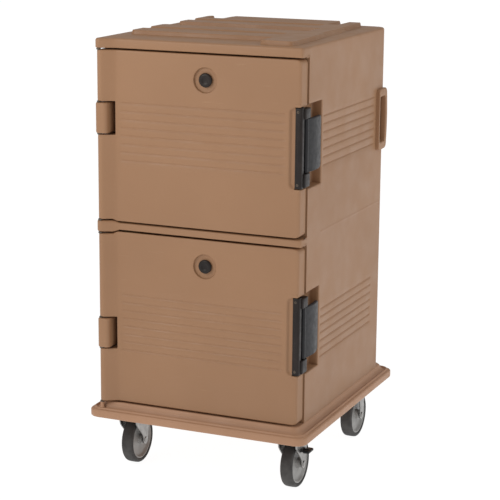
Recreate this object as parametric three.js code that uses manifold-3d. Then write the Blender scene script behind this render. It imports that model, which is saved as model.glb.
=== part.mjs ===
// Insulated food carrier: a tall double-walled cabinet on a bumper base with casters.
// Two insulated doors open from the front, one above the other, each with its own
// hinge rod, paddle latch and pressure vent. Millimetres, +Z up, X across the front
// with the hinges at -X, the doors facing -Y. The origin is on the floor under the
// middle of the base.
import * as THREE from 'three';
import { mergeVertices } from 'three/addons/utils/BufferGeometryUtils.js';
import Module from 'manifold-3d';

const wasm = await Module();
wasm.setup();

// ---- driving dimensions ----
const gap = 0.3;              // clearance left between pieces that rest on each other
const skin = 6;               // thickness of the cabinet's outer wall
const halfWidth = 330;        // cabinet, centre to side wall
const doorFront = -378;       // front plane of doors, top ledge and mullion
const doorDepth = 48;
const seat = doorFront + 52;  // front wall of the cabinet, behind the doors
const back = doorFront + 732;
const bottom = 233;
const top = 1362;
const padHeight = 13;         // raised ribs on the roof
const ledgeUnder = 1332.7;    // underside of the top ledge
const mullionTop = 803;
const mullionUnder = 781.5;

const hingeX = -318;          // hinge axis, forward of the door face
const hingeY = doorFront - 15;
const rodRadius = 4;
const flareX = -267;          // the hinge stile starts to lean forward here
const flareOut = 22;          // and leans this far forward at its crest

const flutePitch = 24.8;
const fluteDepth = 3;
const fluteCount = 8;
const liner = { half: 274, wall: 4, rear: 300 };
const base = { halfWidth: 362, front: -410.5, rear: 410.5, under: 185, shoulder: 212 };
const bossUnder = 181;
const wheelRadius = 76.2;
const treadWidth = 40;
const casterX = 271;
const swivelY = -287;
const trail = 38;
const rearAxleY = 276;
const brakeZ = 120;

const doors = [
  { name: 'upper', low: 808.5, high: 1327.5, lug: 1124, vent: 1253, latch: 1072,
    flute: 996, linerLow: 845, linerHigh: 1292, rails: 10 },
  { name: 'lower', low: 238.5, high: 776, lug: 458, vent: 695, latch: 511,
    flute: 406, linerLow: 276, linerHigh: 740, rails: 11 },
];
const ventX = 24;
const door = { left: -325, right: 326, wall: 4.5, cavityLeft: -262, cavityRight: 284 };
const plug = { half: 262, margin: 8, reach: 16 };
const latch = { half: 118, left: 308, right: 330, pinX: 326, pinY: doorFront + 40 };
const pocket = { half: 124, inner: 296, rear: doorFront + 158 };
const handle = { front: 264, rear: 342, low: 973, high: 1170, out: 12 };

// ---- materials ----
const finish = (color, roughness, metalness = 0) =>
  new THREE.MeshStandardMaterial({ color, roughness, metalness });
const shellPlastic = () => finish(0xa57d62, 0.55);
const linerPlastic = () => finish(0xa8805f, 0.6);
const foamFill = () => finish(0xe6d9b0, 0.95);
const darkPlastic = () => finish(0x25272b, 0.45);
const ventPlastic = () => finish(0x3c302b, 0.5);
const sealRubber = () => finish(0x4a3c34, 0.85);
const zincSteel = () => finish(0xb9bcc0, 0.35, 0.9);
const treadRubber = () => finish(0x4c4c4e, 0.8);
const corePlastic = () => finish(0xa9acb0, 0.5);

// ---- solids ----
function solidOf(geometry) {
  geometry.deleteAttribute('normal');
  geometry.deleteAttribute('uv');
  const merged = mergeVertices(geometry, 1e-4);
  return new wasm.Manifold(new wasm.Mesh({
    numProp: 3,
    vertProperties: new Float32Array(merged.attributes.position.array),
    triVerts: new Uint32Array(merged.index.array),
  }));
}

function geometryOf(solid) {
  const mesh = solid.getMesh();
  const geometry = new THREE.BufferGeometry();
  geometry.setAttribute('position', new THREE.BufferAttribute(mesh.vertProperties, 3));
  geometry.setIndex(new THREE.BufferAttribute(mesh.triVerts, 1));
  geometry.computeVertexNormals();
  return geometry;
}

function box(x0, x1, y0, y1, z0, z1) {
  const geometry = new THREE.BoxGeometry(x1 - x0, y1 - y0, z1 - z0);
  geometry.translate((x0 + x1) / 2, (y0 + y1) / 2, (z0 + z1) / 2);
  return solidOf(geometry);
}

// An outline in the XY plane, drawn up from z0 to z1.
function prism(shape, z0, z1, curveSegments = 5) {
  const geometry = new THREE.ExtrudeGeometry(shape, { depth: z1 - z0, bevelEnabled: false, curveSegments });
  geometry.translate(0, 0, z0);
  return solidOf(geometry);
}

// An outline in the XZ plane, drawn back from y0 to y1.
function prismY(shape, y0, y1, curveSegments = 5) {
  const geometry = new THREE.ExtrudeGeometry(shape, { depth: y1 - y0, bevelEnabled: false, curveSegments });
  geometry.rotateX(Math.PI / 2);
  geometry.translate(0, y1, 0);
  return solidOf(geometry);
}

// An outline in the YZ plane, drawn across from x0 to x1.
function prismX(shape, x0, x1, curveSegments = 5) {
  const geometry = new THREE.ExtrudeGeometry(shape, { depth: x1 - x0, bevelEnabled: false, curveSegments });
  geometry.rotateX(Math.PI / 2);
  geometry.rotateZ(Math.PI / 2);
  geometry.translate(x0, 0, 0);
  return solidOf(geometry);
}

function cylinder(radius, from, to, sides = 20) {
  const a = new THREE.Vector3(...from);
  const b = new THREE.Vector3(...to);
  const along = b.clone().sub(a);
  const geometry = new THREE.CylinderGeometry(radius, radius, along.length(), sides);
  const turn = new THREE.Quaternion().setFromUnitVectors(new THREE.Vector3(0, 1, 0), along.normalize());
  geometry.applyQuaternion(turn);
  const middle = a.add(b).multiplyScalar(0.5);
  geometry.translate(middle.x, middle.y, middle.z);
  return solidOf(geometry);
}

// A rectangle with its own radius at each corner: [x0 y0, x1 y0, x1 y1, x0 y1].
function roundedRect(x0, x1, y0, y1, [r0, r1, r2, r3]) {
  const shape = new THREE.Shape();
  shape.moveTo(x0 + r0, y0);
  shape.lineTo(x1 - r1, y0);
  if (r1) shape.absarc(x1 - r1, y0 + r1, r1, -Math.PI / 2, 0);
  shape.lineTo(x1, y1 - r2);
  if (r2) shape.absarc(x1 - r2, y1 - r2, r2, 0, Math.PI / 2);
  shape.lineTo(x0 + r3, y1);
  if (r3) shape.absarc(x0 + r3, y1 - r3, r3, Math.PI / 2, Math.PI);
  shape.lineTo(x0, y0 + r0);
  if (r0) shape.absarc(x0 + r0, y0 + r0, r0, Math.PI, Math.PI * 1.5);
  return shape;
}

// A ring of points round a rounded rectangle at one height, for a loft.
function ring(x0, x1, y0, y1, radius, z, perCorner = 5) {
  const points = [];
  const corners = [[x1 - radius, y0 + radius, -90], [x1 - radius, y1 - radius, 0],
    [x0 + radius, y1 - radius, 90], [x0 + radius, y0 + radius, 180]];
  for (const [cx, cy, start] of corners) {
    for (let i = 0; i < perCorner; i += 1) {
      const angle = THREE.MathUtils.degToRad(start + (90 * i) / (perCorner - 1));
      points.push([cx + radius * Math.cos(angle), cy + radius * Math.sin(angle), z]);
    }
  }
  return points;
}

// Closed rings stacked from the lowest up, with a flat cap at each end.
function loft(rings) {
  const count = rings[0].length;
  const index = [];
  rings.slice(1).forEach((_, level) => {
    for (let i = 0; i < count; i += 1) {
      const a = level * count + i;
      const b = level * count + ((i + 1) % count);
      index.push(a, b, b + count, a, b + count, a + count);
    }
  });
  const last = (rings.length - 1) * count;
  for (let i = 1; i < count - 1; i += 1) {
    index.push(0, i + 1, i, last, last + i, last + i + 1);
  }
  const geometry = new THREE.BufferGeometry();
  geometry.setAttribute('position', new THREE.Float32BufferAttribute(rings.flat(2), 3));
  geometry.setIndex(index);
  return solidOf(geometry);
}

// A profile of [radius, height] points turned about Z, then laid along +X.
function wheelTurning(profile, sides = 22) {
  const points = profile.map(([radius, height]) => new THREE.Vector2(radius, height));
  const geometry = new THREE.LatheGeometry(points, sides);
  geometry.rotateZ(-Math.PI / 2);
  return solidOf(geometry);
}

const carrier = new THREE.Group();

function add(name, solid, material, group = carrier) {
  const mesh = new THREE.Mesh(geometryOf(solid), material);
  mesh.name = name;
  group.add(mesh);
  return mesh;
}

// The front outline shared by doors, ledge and mullion: a flat face with a hinge
// stile at the left that leans forward over the hinge axis.
function frontOutline(left, right, rear, rightRadius) {
  const shape = new THREE.Shape();
  shape.moveTo(left, rear);
  shape.lineTo(left, doorFront - 8);
  shape.absarc(left + 14, doorFront - 8, 14, Math.PI, Math.PI * 1.36, false);
  shape.lineTo(flareX, doorFront);
  shape.lineTo(right - rightRadius, doorFront);
  shape.absarc(right - rightRadius, doorFront + rightRadius, rightRadius, -Math.PI / 2, 0, false);
  shape.lineTo(right, rear);
  return shape;
}

// One V-shaped flute, as a prism to cut with. It runs along Y or along X.
function fluteCut(along, start, end, face, inward, z) {
  const shape = new THREE.Shape();
  shape.moveTo(face - inward, z - 6);
  shape.lineTo(face + inward * fluteDepth, z);
  shape.lineTo(face - inward, z + 6);
  if (along === 'y') return prismY(shape, start, end);
  return prismX(shape, start, end);
}

const rod = (z0, z1, radius = rodRadius) => cylinder(radius, [hingeX, hingeY, z0], [hingeX, hingeY, z1], 14);

// ---- base ----
function buildBase() {
  const outer = [
    ring(-base.halfWidth + 3, base.halfWidth - 3, base.front + 3, base.rear - 3, 30, base.under),
    ring(-base.halfWidth, base.halfWidth, base.front, base.rear, 32, base.under + 4),
    ring(-base.halfWidth, base.halfWidth, base.front, base.rear, 32, base.shoulder),
    ring(-base.halfWidth + 9, base.halfWidth - 9, base.front + 9, base.rear - 9, 30, base.shoulder + 10),
    ring(-halfWidth, halfWidth, doorFront, base.rear - 32, 30, bottom - gap),
  ];
  let tray = loft(outer);
  const bossHalf = 62;
  for (const y of [swivelY, rearAxleY]) {
    for (const side of [-1, 1]) {
      const x = side * casterX;
      tray = tray.add(box(x - bossHalf, x + bossHalf, y - bossHalf, y + bossHalf, bossUnder, base.under + 1));
    }
  }
  const hollow = { x: 296, y0: doorFront + 60, y1: back - 20 };
  tray = tray.subtract(box(-hollow.x, hollow.x, hollow.y0, hollow.y1, base.under + 8, bottom + 5));
  tray = tray.subtract(rod(base.shoulder, bottom + 5, rodRadius + gap));
  add('base_bumper', tray, shellPlastic());
  const fill = box(-hollow.x + gap, hollow.x - gap, hollow.y0 + gap, hollow.y1 - gap,
    base.under + 8 + gap, bottom - gap);
  add('base_foam', fill, foamFill());
}

// ---- cabinet ----
// Raised roof ribs: a spine along the right side with broad bars reaching left.
function roofRibs() {
  const spine = roundedRect(180, 286, doorFront + 34, doorFront + 700, [12, 12, 12, 0]);
  const frontBar = roundedRect(-286, 200, doorFront + 131, doorFront + 356, [12, 0, 0, 12]);
  const rearBar = roundedRect(-283, 200, doorFront + 457, doorFront + 700, [12, 0, 0, 12]);
  const tail = roundedRect(-200, 190, doorFront + 690, doorFront + 722, [0, 0, 8, 8]);
  let ribs = prism(spine, top - 1, top + padHeight, 3);
  for (const shape of [frontBar, rearBar, tail]) {
    ribs = ribs.add(prism(shape, top - 1, top + padHeight, 3));
  }
  for (const y of [240, 556]) {
    ribs = ribs.subtract(box(-300, 170, doorFront + y - 26, doorFront + y + 26, top + padHeight - 4, top + 30));
  }
  return ribs;
}

function handleFrame(side) {
  const shape = roundedRect(handle.front, handle.rear, handle.low, handle.high, [14, 14, 14, 14]);
  const x = side * halfWidth;
  return prismX(shape, Math.min(x - side * 2, x + side * handle.out), Math.max(x - side * 2, x + side * handle.out), 4);
}

function handlePocket(side) {
  const mouth = [side * 300, side * (halfWidth + handle.out + 5)].sort((a, b) => a - b);
  const behind = [side * 300, side * 326].sort((a, b) => a - b);
  const slot = box(mouth[0], mouth[1], handle.front + 7, handle.rear - 16, handle.low + 25, handle.high - 25);
  return slot.add(box(behind[0], behind[1], handle.front + 7, back + 5, handle.low + 25, handle.high - 25));
}

function buildCabinet() {
  const body = roundedRect(-halfWidth, halfWidth, seat, back, [0, 0, 36, 36]);
  let shell = prism(body, bottom, top);
  shell = shell.add(prism(frontOutline(-halfWidth, halfWidth, seat + 2, 8), ledgeUnder, top, 4));
  shell = shell.add(prism(frontOutline(-halfWidth, halfWidth, seat + 2, 8), mullionUnder, mullionTop, 4));
  shell = shell.add(roofRibs());
  for (const side of [-1, 1]) shell = shell.add(handleFrame(side));

  const core = roundedRect(-halfWidth + skin, halfWidth - skin, seat + skin, back - skin, [0, 0, 30, 30]);
  let space = prism(core, bottom + skin, top - skin);
  const wells = [-1, 1].map((side) => {
    const x = [side * (pocket.inner - skin), side * (halfWidth + 9)].sort((a, b) => a - b);
    return box(x[0], x[1], handle.front - 6, back + 9, handle.low + 18, handle.high - 18);
  });
  for (const well of wells) space = space.subtract(well);
  const latchWell = (d, grow) => box(pocket.inner - grow, halfWidth + 9, seat - 1, pocket.rear + grow,
    d.latch - pocket.half - grow, d.latch + pocket.half + grow);
  for (const d of doors) space = space.subtract(latchWell(d, skin));
  shell = shell.subtract(space);

  for (const d of doors) {
    const mouth = liner.half + gap;
    shell = shell.subtract(box(-mouth, mouth, seat - 1, seat + skin + 1, d.linerLow - gap, d.linerHigh + gap));
    shell = shell.subtract(latchWell(d, 0));
    for (let i = 0; i < fluteCount - 1; i += 1) {
      const z = d.flute + 4 + flutePitch * i;
      shell = shell.subtract(fluteCut('y', pocket.rear + 10, handle.front - 12, halfWidth, -1, z));
      shell = shell.subtract(fluteCut('y', seat + 30, handle.front - 12, -halfWidth, 1, z));
      shell = shell.subtract(fluteCut('x', -halfWidth + 50, halfWidth - 50, back, -1, z));
    }
  }
  for (const side of [-1, 1]) shell = shell.subtract(handlePocket(side));
  shell = shell.subtract(rod(mullionUnder - 5, 1346, rodRadius + gap));
  add('cabinet_shell', shell, shellPlastic());

  const inner = roundedRect(-halfWidth + skin + gap, halfWidth - skin - gap, seat + skin + gap,
    back - skin - gap, [0, 0, 30, 30]);
  let foam = prism(inner, bottom + skin + gap, top - skin - gap);
  for (const well of wells) foam = foam.subtract(well);
  for (const side of [-1, 1]) {
    const x = [side * (pocket.inner - skin - gap), side * halfWidth].sort((a, b) => a - b);
    foam = foam.subtract(box(x[0], x[1], handle.front - 6 - gap, back, handle.low + 18 - gap, handle.high - 18 + gap));
  }
  for (const d of doors) {
    foam = foam.subtract(latchWell(d, skin + gap));
    const half = liner.half + gap;
    foam = foam.subtract(box(-half, half, seat, liner.rear + gap, d.linerLow - gap, d.linerHigh + gap));
  }
  add('cabinet_foam', foam, foamFill());
}

// A compartment tub with moulded pan rails on both side walls.
function buildLiner(d) {
  const { half, wall, rear } = liner;
  let tub = box(-half, half, seat, rear, d.linerLow, d.linerHigh);
  tub = tub.subtract(box(-half + wall, half - wall, seat - 1, rear - wall, d.linerLow + wall, d.linerHigh - wall));
  const railPitch = 38;
  for (let i = 1; i <= d.rails; i += 1) {
    const z = d.linerLow + wall + railPitch * i;
    for (const side of [-1, 1]) {
      const x = [side * (half - wall - 9), side * (half - wall + 1)].sort((a, b) => a - b);
      tub = tub.add(box(x[0], x[1], seat + 30, rear - 40, z - 5, z + 5));
    }
  }
  add(`${d.name}_liner`, tub, linerPlastic());
}

// ---- doors ----
function buildDoor(d) {
  const rear = doorFront + doorDepth;
  const centre = { x: ventX, z: d.vent };
  const lug = { low: d.lug - 51, high: d.lug + 51 };
  const along = (radius, y0, y1, sides = 24) =>
    cylinder(radius, [centre.x, y0, centre.z], [centre.x, y1, centre.z], sides);

  let shell = prism(frontOutline(door.left, door.right, rear, 8), d.low, d.high, 4);
  const face = roundedRect(door.left, door.right, d.low, d.high, [0, 14, 14, 0]);
  shell = shell.intersect(prismY(face, doorFront - 40, rear + 5, 4));
  shell = shell.subtract(box(door.left - 20, -270, doorFront - 40, rear + 5, lug.low, lug.high));
  const hollow = [door.cavityLeft, door.cavityRight, doorFront + door.wall, rear + 5];
  const boss = along(43, doorFront - 1, doorFront + 14);
  shell = shell.subtract(box(...hollow, d.low + 5, d.high - 5).subtract(boss));
  shell = shell.subtract(along(37.5, doorFront - 5, doorFront + 8));
  shell = shell.subtract(along(8, doorFront - 5, doorFront + 20, 16));
  const latchRoom = { low: d.latch - latch.half - 3, high: d.latch + latch.half + 3 };
  shell = shell.subtract(box(latch.left - 0.5, 340, doorFront - 5, rear + 5, latchRoom.low, latchRoom.high));
  shell = shell.subtract(box(290, 340, doorFront - 5, doorFront + 7, latchRoom.low, latchRoom.high));
  for (let i = 0; i < fluteCount; i += 1) {
    const z = d.flute + flutePitch * i;
    shell = shell.subtract(fluteCut('x', -255, 278, doorFront, 1, z));
  }
  shell = shell.subtract(rod(d.low - 5, d.high + 5, rodRadius + 0.5));
  add(`${d.name}_door_shell`, shell, shellPlastic());

  const panel = box(door.cavityLeft + gap, door.cavityRight - gap, rear - 4, rear, d.low + 5 + gap, d.high - 5 - gap);
  const plugLow = d.linerLow + liner.wall + plug.margin;
  const plugHigh = d.linerHigh - liner.wall - plug.margin;
  const plugOutline = roundedRect(-plug.half + 4, plug.half, plugLow, plugHigh, [14, 14, 14, 14]);
  const plugInside = roundedRect(-plug.half + 8, plug.half - 4, plugLow + 4, plugHigh - 4, [10, 10, 10, 10]);
  let inner = panel.add(prismY(plugOutline, rear - 2, rear + plug.reach, 4));
  inner = inner.subtract(prismY(plugInside, rear - 10, rear + plug.reach - 4, 4));
  inner = inner.subtract(along(8, rear - 10, rear + plug.reach + 5, 16));
  add(`${d.name}_door_inner`, inner, linerPlastic());

  const foamInside = roundedRect(-plug.half + 8.5, plug.half - 4.5, plugLow + 4.5, plugHigh - 4.5, [10, 10, 10, 10]);
  let foam = box(hollow[0] + gap, hollow[1] - gap, hollow[2] + gap, rear - 4 - gap, d.low + 5 + gap, d.high - 5 - gap);
  foam = foam.add(prismY(foamInside, rear - 6, rear + plug.reach - 4 - gap, 4));
  foam = foam.subtract(along(43 + gap, doorFront, doorFront + 14 + gap));
  foam = foam.subtract(along(8 + gap, doorFront, rear + plug.reach, 16));
  add(`${d.name}_door_foam`, foam, foamFill());

  const band = (grow, y0, y1) => prismY(roundedRect(-liner.half - 4 - grow, liner.half + 4 + grow,
    d.linerLow - 3 - grow, d.linerHigh + 3 + grow, [14, 14, 14, 14]), y0, y1, 4);
  const gasket = band(12, rear + gap, seat - gap).subtract(band(0, rear, seat));
  add(`${d.name}_door_gasket`, gasket, sealRubber());

  const flangeY = rear + plug.reach + 10;
  let cap = along(21, doorFront - 2, doorFront + 6);
  cap = cap.add(along(7, doorFront + 5, flangeY + 2, 16)).add(along(12, flangeY, flangeY + 4, 16));
  add(`${d.name}_vent_cap`, cap, ventPlastic());
  const seal = along(19, doorFront + 6 + gap, doorFront + 8 - gap).subtract(along(10, doorFront, doorFront + 20, 16));
  add(`${d.name}_vent_seal`, seal, sealRubber());
}

// The knuckle block on the cabinet that carries the middle of each hinge rod.
function buildHinge(d) {
  const low = d.lug - 46;
  const high = d.lug + 46;
  const block = prism(roundedRect(-328, -288, doorFront - 27, doorFront + 20, [10, 10, 8, 4]), low, high, 4);
  const arm = box(-328, -290, doorFront + 10, seat - gap, low, high);
  add(`${d.name}_hinge_block`, block.add(arm).subtract(rod(low - 5, high + 5, rodRadius + gap)), shellPlastic());
  const ends = d.name === 'upper' ? [793, 1345] : [base.shoulder + 1, 791];
  add(`${d.name}_hinge_rod`, rod(ends[0], ends[1]), zincSteel());
}

// ---- latches ----
function buildLatch(d) {
  const { left, right, pinX, pinY, half } = latch;
  const low = d.latch - half;
  const high = d.latch + half;
  const lever = { low: low + 44, high: high - 34 };
  const along = (radius, z0, z1, sides = 16) => cylinder(radius, [pinX, pinY, z0], [pinX, pinY, z1], sides);

  const plate = roundedRect(left, right, doorFront, doorFront + doorDepth - 2, [3, 5, 0, 0]);
  const knuckle = roundedRect(left + 8, right + 6, doorFront + 14, doorFront + 62, [0, 6, 12, 4]);
  let body = prism(plate, low, high, 3);
  body = body.add(prism(knuckle, low + 3, lever.low - 1, 3));
  body = body.add(prism(knuckle, lever.high + 1, high - 3, 3));
  body = body.subtract(box(left + 8, right + 20, doorFront + 20, seat + 20, lever.low - 1, lever.high + 1));
  body = body.subtract(along(3.5 + 0.1, low - 5, high + 5));
  const screwX = (left + right) / 2 - 2;
  const screw = (z, radius, y0, y1) => cylinder(radius, [screwX, y0, z], [screwX, y1, z], 12);
  [low + 12, high - 12].forEach((z, index) => {
    body = body.subtract(screw(z, 5.5, doorFront - 5, doorFront + 3));
    body = body.subtract(screw(z, 2.8, doorFront - 5, doorFront + 60));
    const piece = screw(z, 5, doorFront - 0.5, doorFront + 2.6).add(screw(z, 2.5, doorFront + 2, doorFront + 44));
    add(`${d.name}_latch_screw_${index + 1}`, piece, zincSteel());
  });
  add(`${d.name}_latch_body`, body, darkPlastic());
  add(`${d.name}_latch_pin`, along(3.5, low + 6, high - 6), zincSteel());

  const paddle = new THREE.Shape();
  paddle.moveTo(pinX - 4, pinY);
  paddle.lineTo(pinX + 7, pinY);
  paddle.quadraticCurveTo(pinX + 11, pinY + 60, pinX + 2, pinY + 100);
  paddle.absarc(pinX - 2, pinY + 101, 4, 0, Math.PI, false);
  paddle.quadraticCurveTo(pinX + 1, pinY + 60, pinX - 4, pinY);
  let arm = along(8, lever.low, lever.high).add(prism(paddle, lever.low, lever.high, 6));
  arm = arm.subtract(along(3.5 + gap, lever.low - 5, lever.high + 5));
  add(`${d.name}_latch_lever`, arm, darkPlastic());

  const keeperFoot = box(pocket.inner + gap, pocket.inner + 3.5, doorFront + 64, doorFront + 96, d.latch - 30, d.latch + 30);
  const keeperTongue = box(pocket.inner + 2, pocket.inner + 15, doorFront + 66, doorFront + 70, d.latch - 22, d.latch + 22);
  add(`${d.name}_latch_keeper`, keeperFoot.add(keeperTongue), zincSteel());
}

// ---- casters ----
// Built about the wheel's contact point with the floor; the mounting plate's centre
// is `offset` ahead of it, which is the trail of a swivelling caster.
function buildCaster(name, x, plateY, swivels, braked) {
  const group = new THREE.Group();
  group.position.set(x, plateY, 0);
  carrier.add(group);
  const axleY = swivels ? trail : 0;
  const plateUnder = bossUnder - gap - 5;
  const forkTop = swivels ? 164 : plateUnder - gap;
  const plate = prism(roundedRect(-57, 57, -50, 50, [8, 8, 8, 8]), plateUnder, bossUnder - gap, 3);
  add(`${name}_caster_plate`, plate, zincSteel(), group);
  if (swivels) {
    const race = cylinder(28, [0, 0, forkTop + gap], [0, 0, plateUnder - gap], 24);
    add(`${name}_swivel_race`, race, zincSteel(), group);
  }

  const inside = treadWidth / 2 + 3;
  const leg = new THREE.Shape();
  leg.moveTo(-26, forkTop);
  leg.lineTo(-26, forkTop - 12);
  leg.lineTo(axleY - 15, wheelRadius - 4);
  leg.absarc(axleY, wheelRadius, 15, Math.PI * 1.08, Math.PI * 1.97, false);
  leg.lineTo(axleY + 24, forkTop - 14);
  leg.lineTo(axleY + 24, forkTop);
  let fork = prismX(leg, -inside - 4, inside + 4, 4);
  fork = fork.subtract(box(-inside, inside, -90, 120, 0, forkTop - 5));
  fork = fork.subtract(cylinder(6 + gap, [-60, axleY, wheelRadius], [60, axleY, wheelRadius], 16));
  add(`${name}_fork`, fork, zincSteel(), group);

  const wheel = new THREE.Group();
  wheel.position.set(0, axleY, wheelRadius);
  group.add(wheel);
  const rim = wheelRadius - 13.5;
  const hub = inside - 2;
  const core = wheelTurning([[6.5, -hub], [15, -hub], [16, -9], [rim - 9, -9], [rim - 7, -17], [rim, -17],
    [rim, 17], [rim - 7, 17], [rim - 9, 9], [16, 9], [15, hub], [6.5, hub], [6.5, -hub]]);
  add(`${name}_wheel_core`, core, corePlastic(), wheel);
  const half = treadWidth / 2;
  const bore = rim + gap;
  const tread = wheelTurning([[bore, -half], [wheelRadius - 5, -half], [wheelRadius, -half + 6],
    [wheelRadius, half - 6], [wheelRadius - 5, half], [bore, half], [bore, -half]]);
  add(`${name}_wheel_tread`, tread, treadRubber(), wheel);
  const outside = inside + 4;
  let axle = cylinder(6, [-outside - 5, 0, 0], [outside + 5, 0, 0], 16);
  for (const side of [-1, 1]) {
    axle = axle.add(cylinder(9.5, [side * (outside + 0.4), 0, 0], [side * (outside + 6), 0, 0], 6));
  }
  add(`${name}_axle`, axle, zincSteel(), wheel);

  if (braked) {
    const boss = cylinder(7, [outside + 0.5, axleY - 4, brakeZ], [49, axleY - 4, brakeZ], 14);
    const pedal = box(33, 55, axleY - 22, axleY + 20, brakeZ - 4, brakeZ + 4);
    add(`${name}_brake_pedal`, boss.add(pedal), darkPlastic(), group);
  }
}

buildBase();
buildCabinet();
for (const d of doors) {
  buildLiner(d);
  buildDoor(d);
  buildHinge(d);
  buildLatch(d);
}
buildCaster('front_left', -casterX, swivelY, true, false);
buildCaster('front_right', casterX, swivelY, true, true);
buildCaster('rear_left', -casterX, rearAxleY, false, false);
buildCaster('rear_right', casterX, rearAxleY, false, false);

export default carrier;
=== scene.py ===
# %% [markdown]
# # An insulated food carrier
# A tall cart that keeps pans of food hot: a double-walled cabinet of moulded
# polyethylene with two doors, one above the other, on a bumper base with four casters.
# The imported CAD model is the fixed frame. It says where every part is and how it moves,
# and this lesson builds the fine surfaces and finishes around it. We load it first and
# keep its box, because nothing we add may outgrow it.

import bmesh
import bpy
import numpy as np
from mathutils import Matrix, Vector


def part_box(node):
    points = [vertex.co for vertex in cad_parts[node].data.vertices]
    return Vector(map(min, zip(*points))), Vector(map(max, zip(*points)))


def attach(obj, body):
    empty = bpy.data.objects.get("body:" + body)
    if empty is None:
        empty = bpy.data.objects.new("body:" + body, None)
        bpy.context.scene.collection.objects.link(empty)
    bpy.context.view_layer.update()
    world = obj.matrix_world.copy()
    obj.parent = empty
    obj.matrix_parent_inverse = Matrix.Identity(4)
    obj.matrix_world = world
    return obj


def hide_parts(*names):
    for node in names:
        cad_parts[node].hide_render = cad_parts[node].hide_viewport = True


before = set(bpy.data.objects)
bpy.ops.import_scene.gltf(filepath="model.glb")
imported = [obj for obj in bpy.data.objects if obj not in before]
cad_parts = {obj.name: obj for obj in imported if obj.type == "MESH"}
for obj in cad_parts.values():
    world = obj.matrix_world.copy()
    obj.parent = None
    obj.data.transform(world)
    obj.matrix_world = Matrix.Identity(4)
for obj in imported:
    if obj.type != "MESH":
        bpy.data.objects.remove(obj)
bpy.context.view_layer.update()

# %% [markdown]
# ## The camera
# A cart like this shows best through a long lens from a little above, because upright
# edges then stay nearly upright. We could aim a camera with a Track To constraint, but three plain
# angles are easier to read: yaw turns it to the left, pitch tips it down, and roll is a
# fraction of a degree. Its three axes then fill the columns of a rotation matrix.

# %% Aim the camera
EYE = Vector((2.108, -4.880, 1.872))
YAW, PITCH, ROLL = np.radians([23.28, 12.77, 0.48])
FOCAL_LENGTH = 123.0

forward = Vector((-np.sin(YAW) * np.cos(PITCH), np.cos(YAW) * np.cos(PITCH), -np.sin(PITCH)))
level = forward.cross(Vector((0, 0, 1))).normalized()
upright = level.cross(forward)
right = level * np.cos(ROLL) + upright * np.sin(ROLL)
up = upright * np.cos(ROLL) - level * np.sin(ROLL)

camera = bpy.data.objects.new("camera", bpy.data.cameras.new("camera"))
camera.data.lens = FOCAL_LENGTH
camera.data.sensor_width = 36.0
turn = Matrix((right, up, -forward)).transposed()
camera.matrix_world = Matrix.Translation(EYE) @ turn.to_4x4()
bpy.context.scene.collection.objects.link(camera)
bpy.context.scene.camera = camera
print("camera at", tuple(EYE))

# %% [markdown]
# ## Floor and light
# The object stands on a plain white floor that glows a little, so that it stays evenly
# white up to the horizon and takes next to no shadow. Three large soft boxes light the
# cart: one over the front, one on the right and one above. A pale world fills in
# between them, and the Standard view transform keeps the white white.

# %% Stage
bpy.context.scene.view_settings.view_transform = "Standard"
WORLD_STRENGTH = 0.42
FLOOR_HALF = 400.0
FLOOR_GLOW = 0.96


def set_inputs(node, values):
    """Gives each named socket of a node its value."""
    for socket, value in values.items():
        node.inputs[socket].default_value = value


def area_light(name, place, target, size, watts, tint):
    """A square soft box at place that faces target."""
    light = bpy.data.lights.new(name, "AREA")
    light.energy, light.size, light.color = watts, size, tint
    box = bpy.data.objects.new(name, light)
    box.location = place
    box.rotation_euler = (Vector(target) - Vector(place)).to_track_quat("-Z", "Y").to_euler()
    bpy.context.scene.collection.objects.link(box)


world = bpy.data.worlds.new("pale_room")
world.use_nodes = True
set_inputs(world.node_tree.nodes["Background"], {"Color": (1, 1, 1, 1), "Strength": WORLD_STRENGTH})
bpy.context.scene.world = world

MIDDLE = (0, 0, 0.7)
area_light("front_box", (-1.5, -2.8, 2.6), (0, 0, 0.95), 1.4, 43, (1.0, 0.97, 0.92))
area_light("side_box", (4.2, -0.2, 2.9), (0, 0, 1.0), 2.2, 43, (0.94, 0.98, 1.0))
area_light("top_box", (0.3, 0.6, 4.6), MIDDLE, 2.6, 9, (1.0, 0.99, 0.96))

floor_mesh = bpy.data.meshes.new("floor")
corner_signs = ((-1, -1), (1, -1), (1, 1), (-1, 1))
floor_mesh.from_pydata([(x * FLOOR_HALF, y * FLOOR_HALF, 0) for x, y in corner_signs], [], [(0, 1, 2, 3)])
floor = bpy.data.objects.new("floor", floor_mesh)
bpy.context.scene.collection.objects.link(floor)
print("stage: floor and three soft boxes")

# %% [markdown]
# ## Finishes
# Each finish is a small node graph on Object coordinates. Rotationally moulded
# polyethylene is never one flat colour: the resin mottles a little at two scales, its
# skin is finely pebbled, and it scuffs pale where trays and trolleys rub it. An image
# could hold that, but noise costs nothing to tile and stays sharp at any distance.

# %% A helper for node graphs
def linear(red, green, blue):
    """Screen values from 0 to 255 as the linear colour that a shader wants."""
    screen = np.array([red, green, blue]) / 255
    value = np.where(screen <= 0.04045, screen / 12.92, ((screen + 0.055) / 1.055) ** 2.4)
    return (*value, 1.0)


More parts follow.
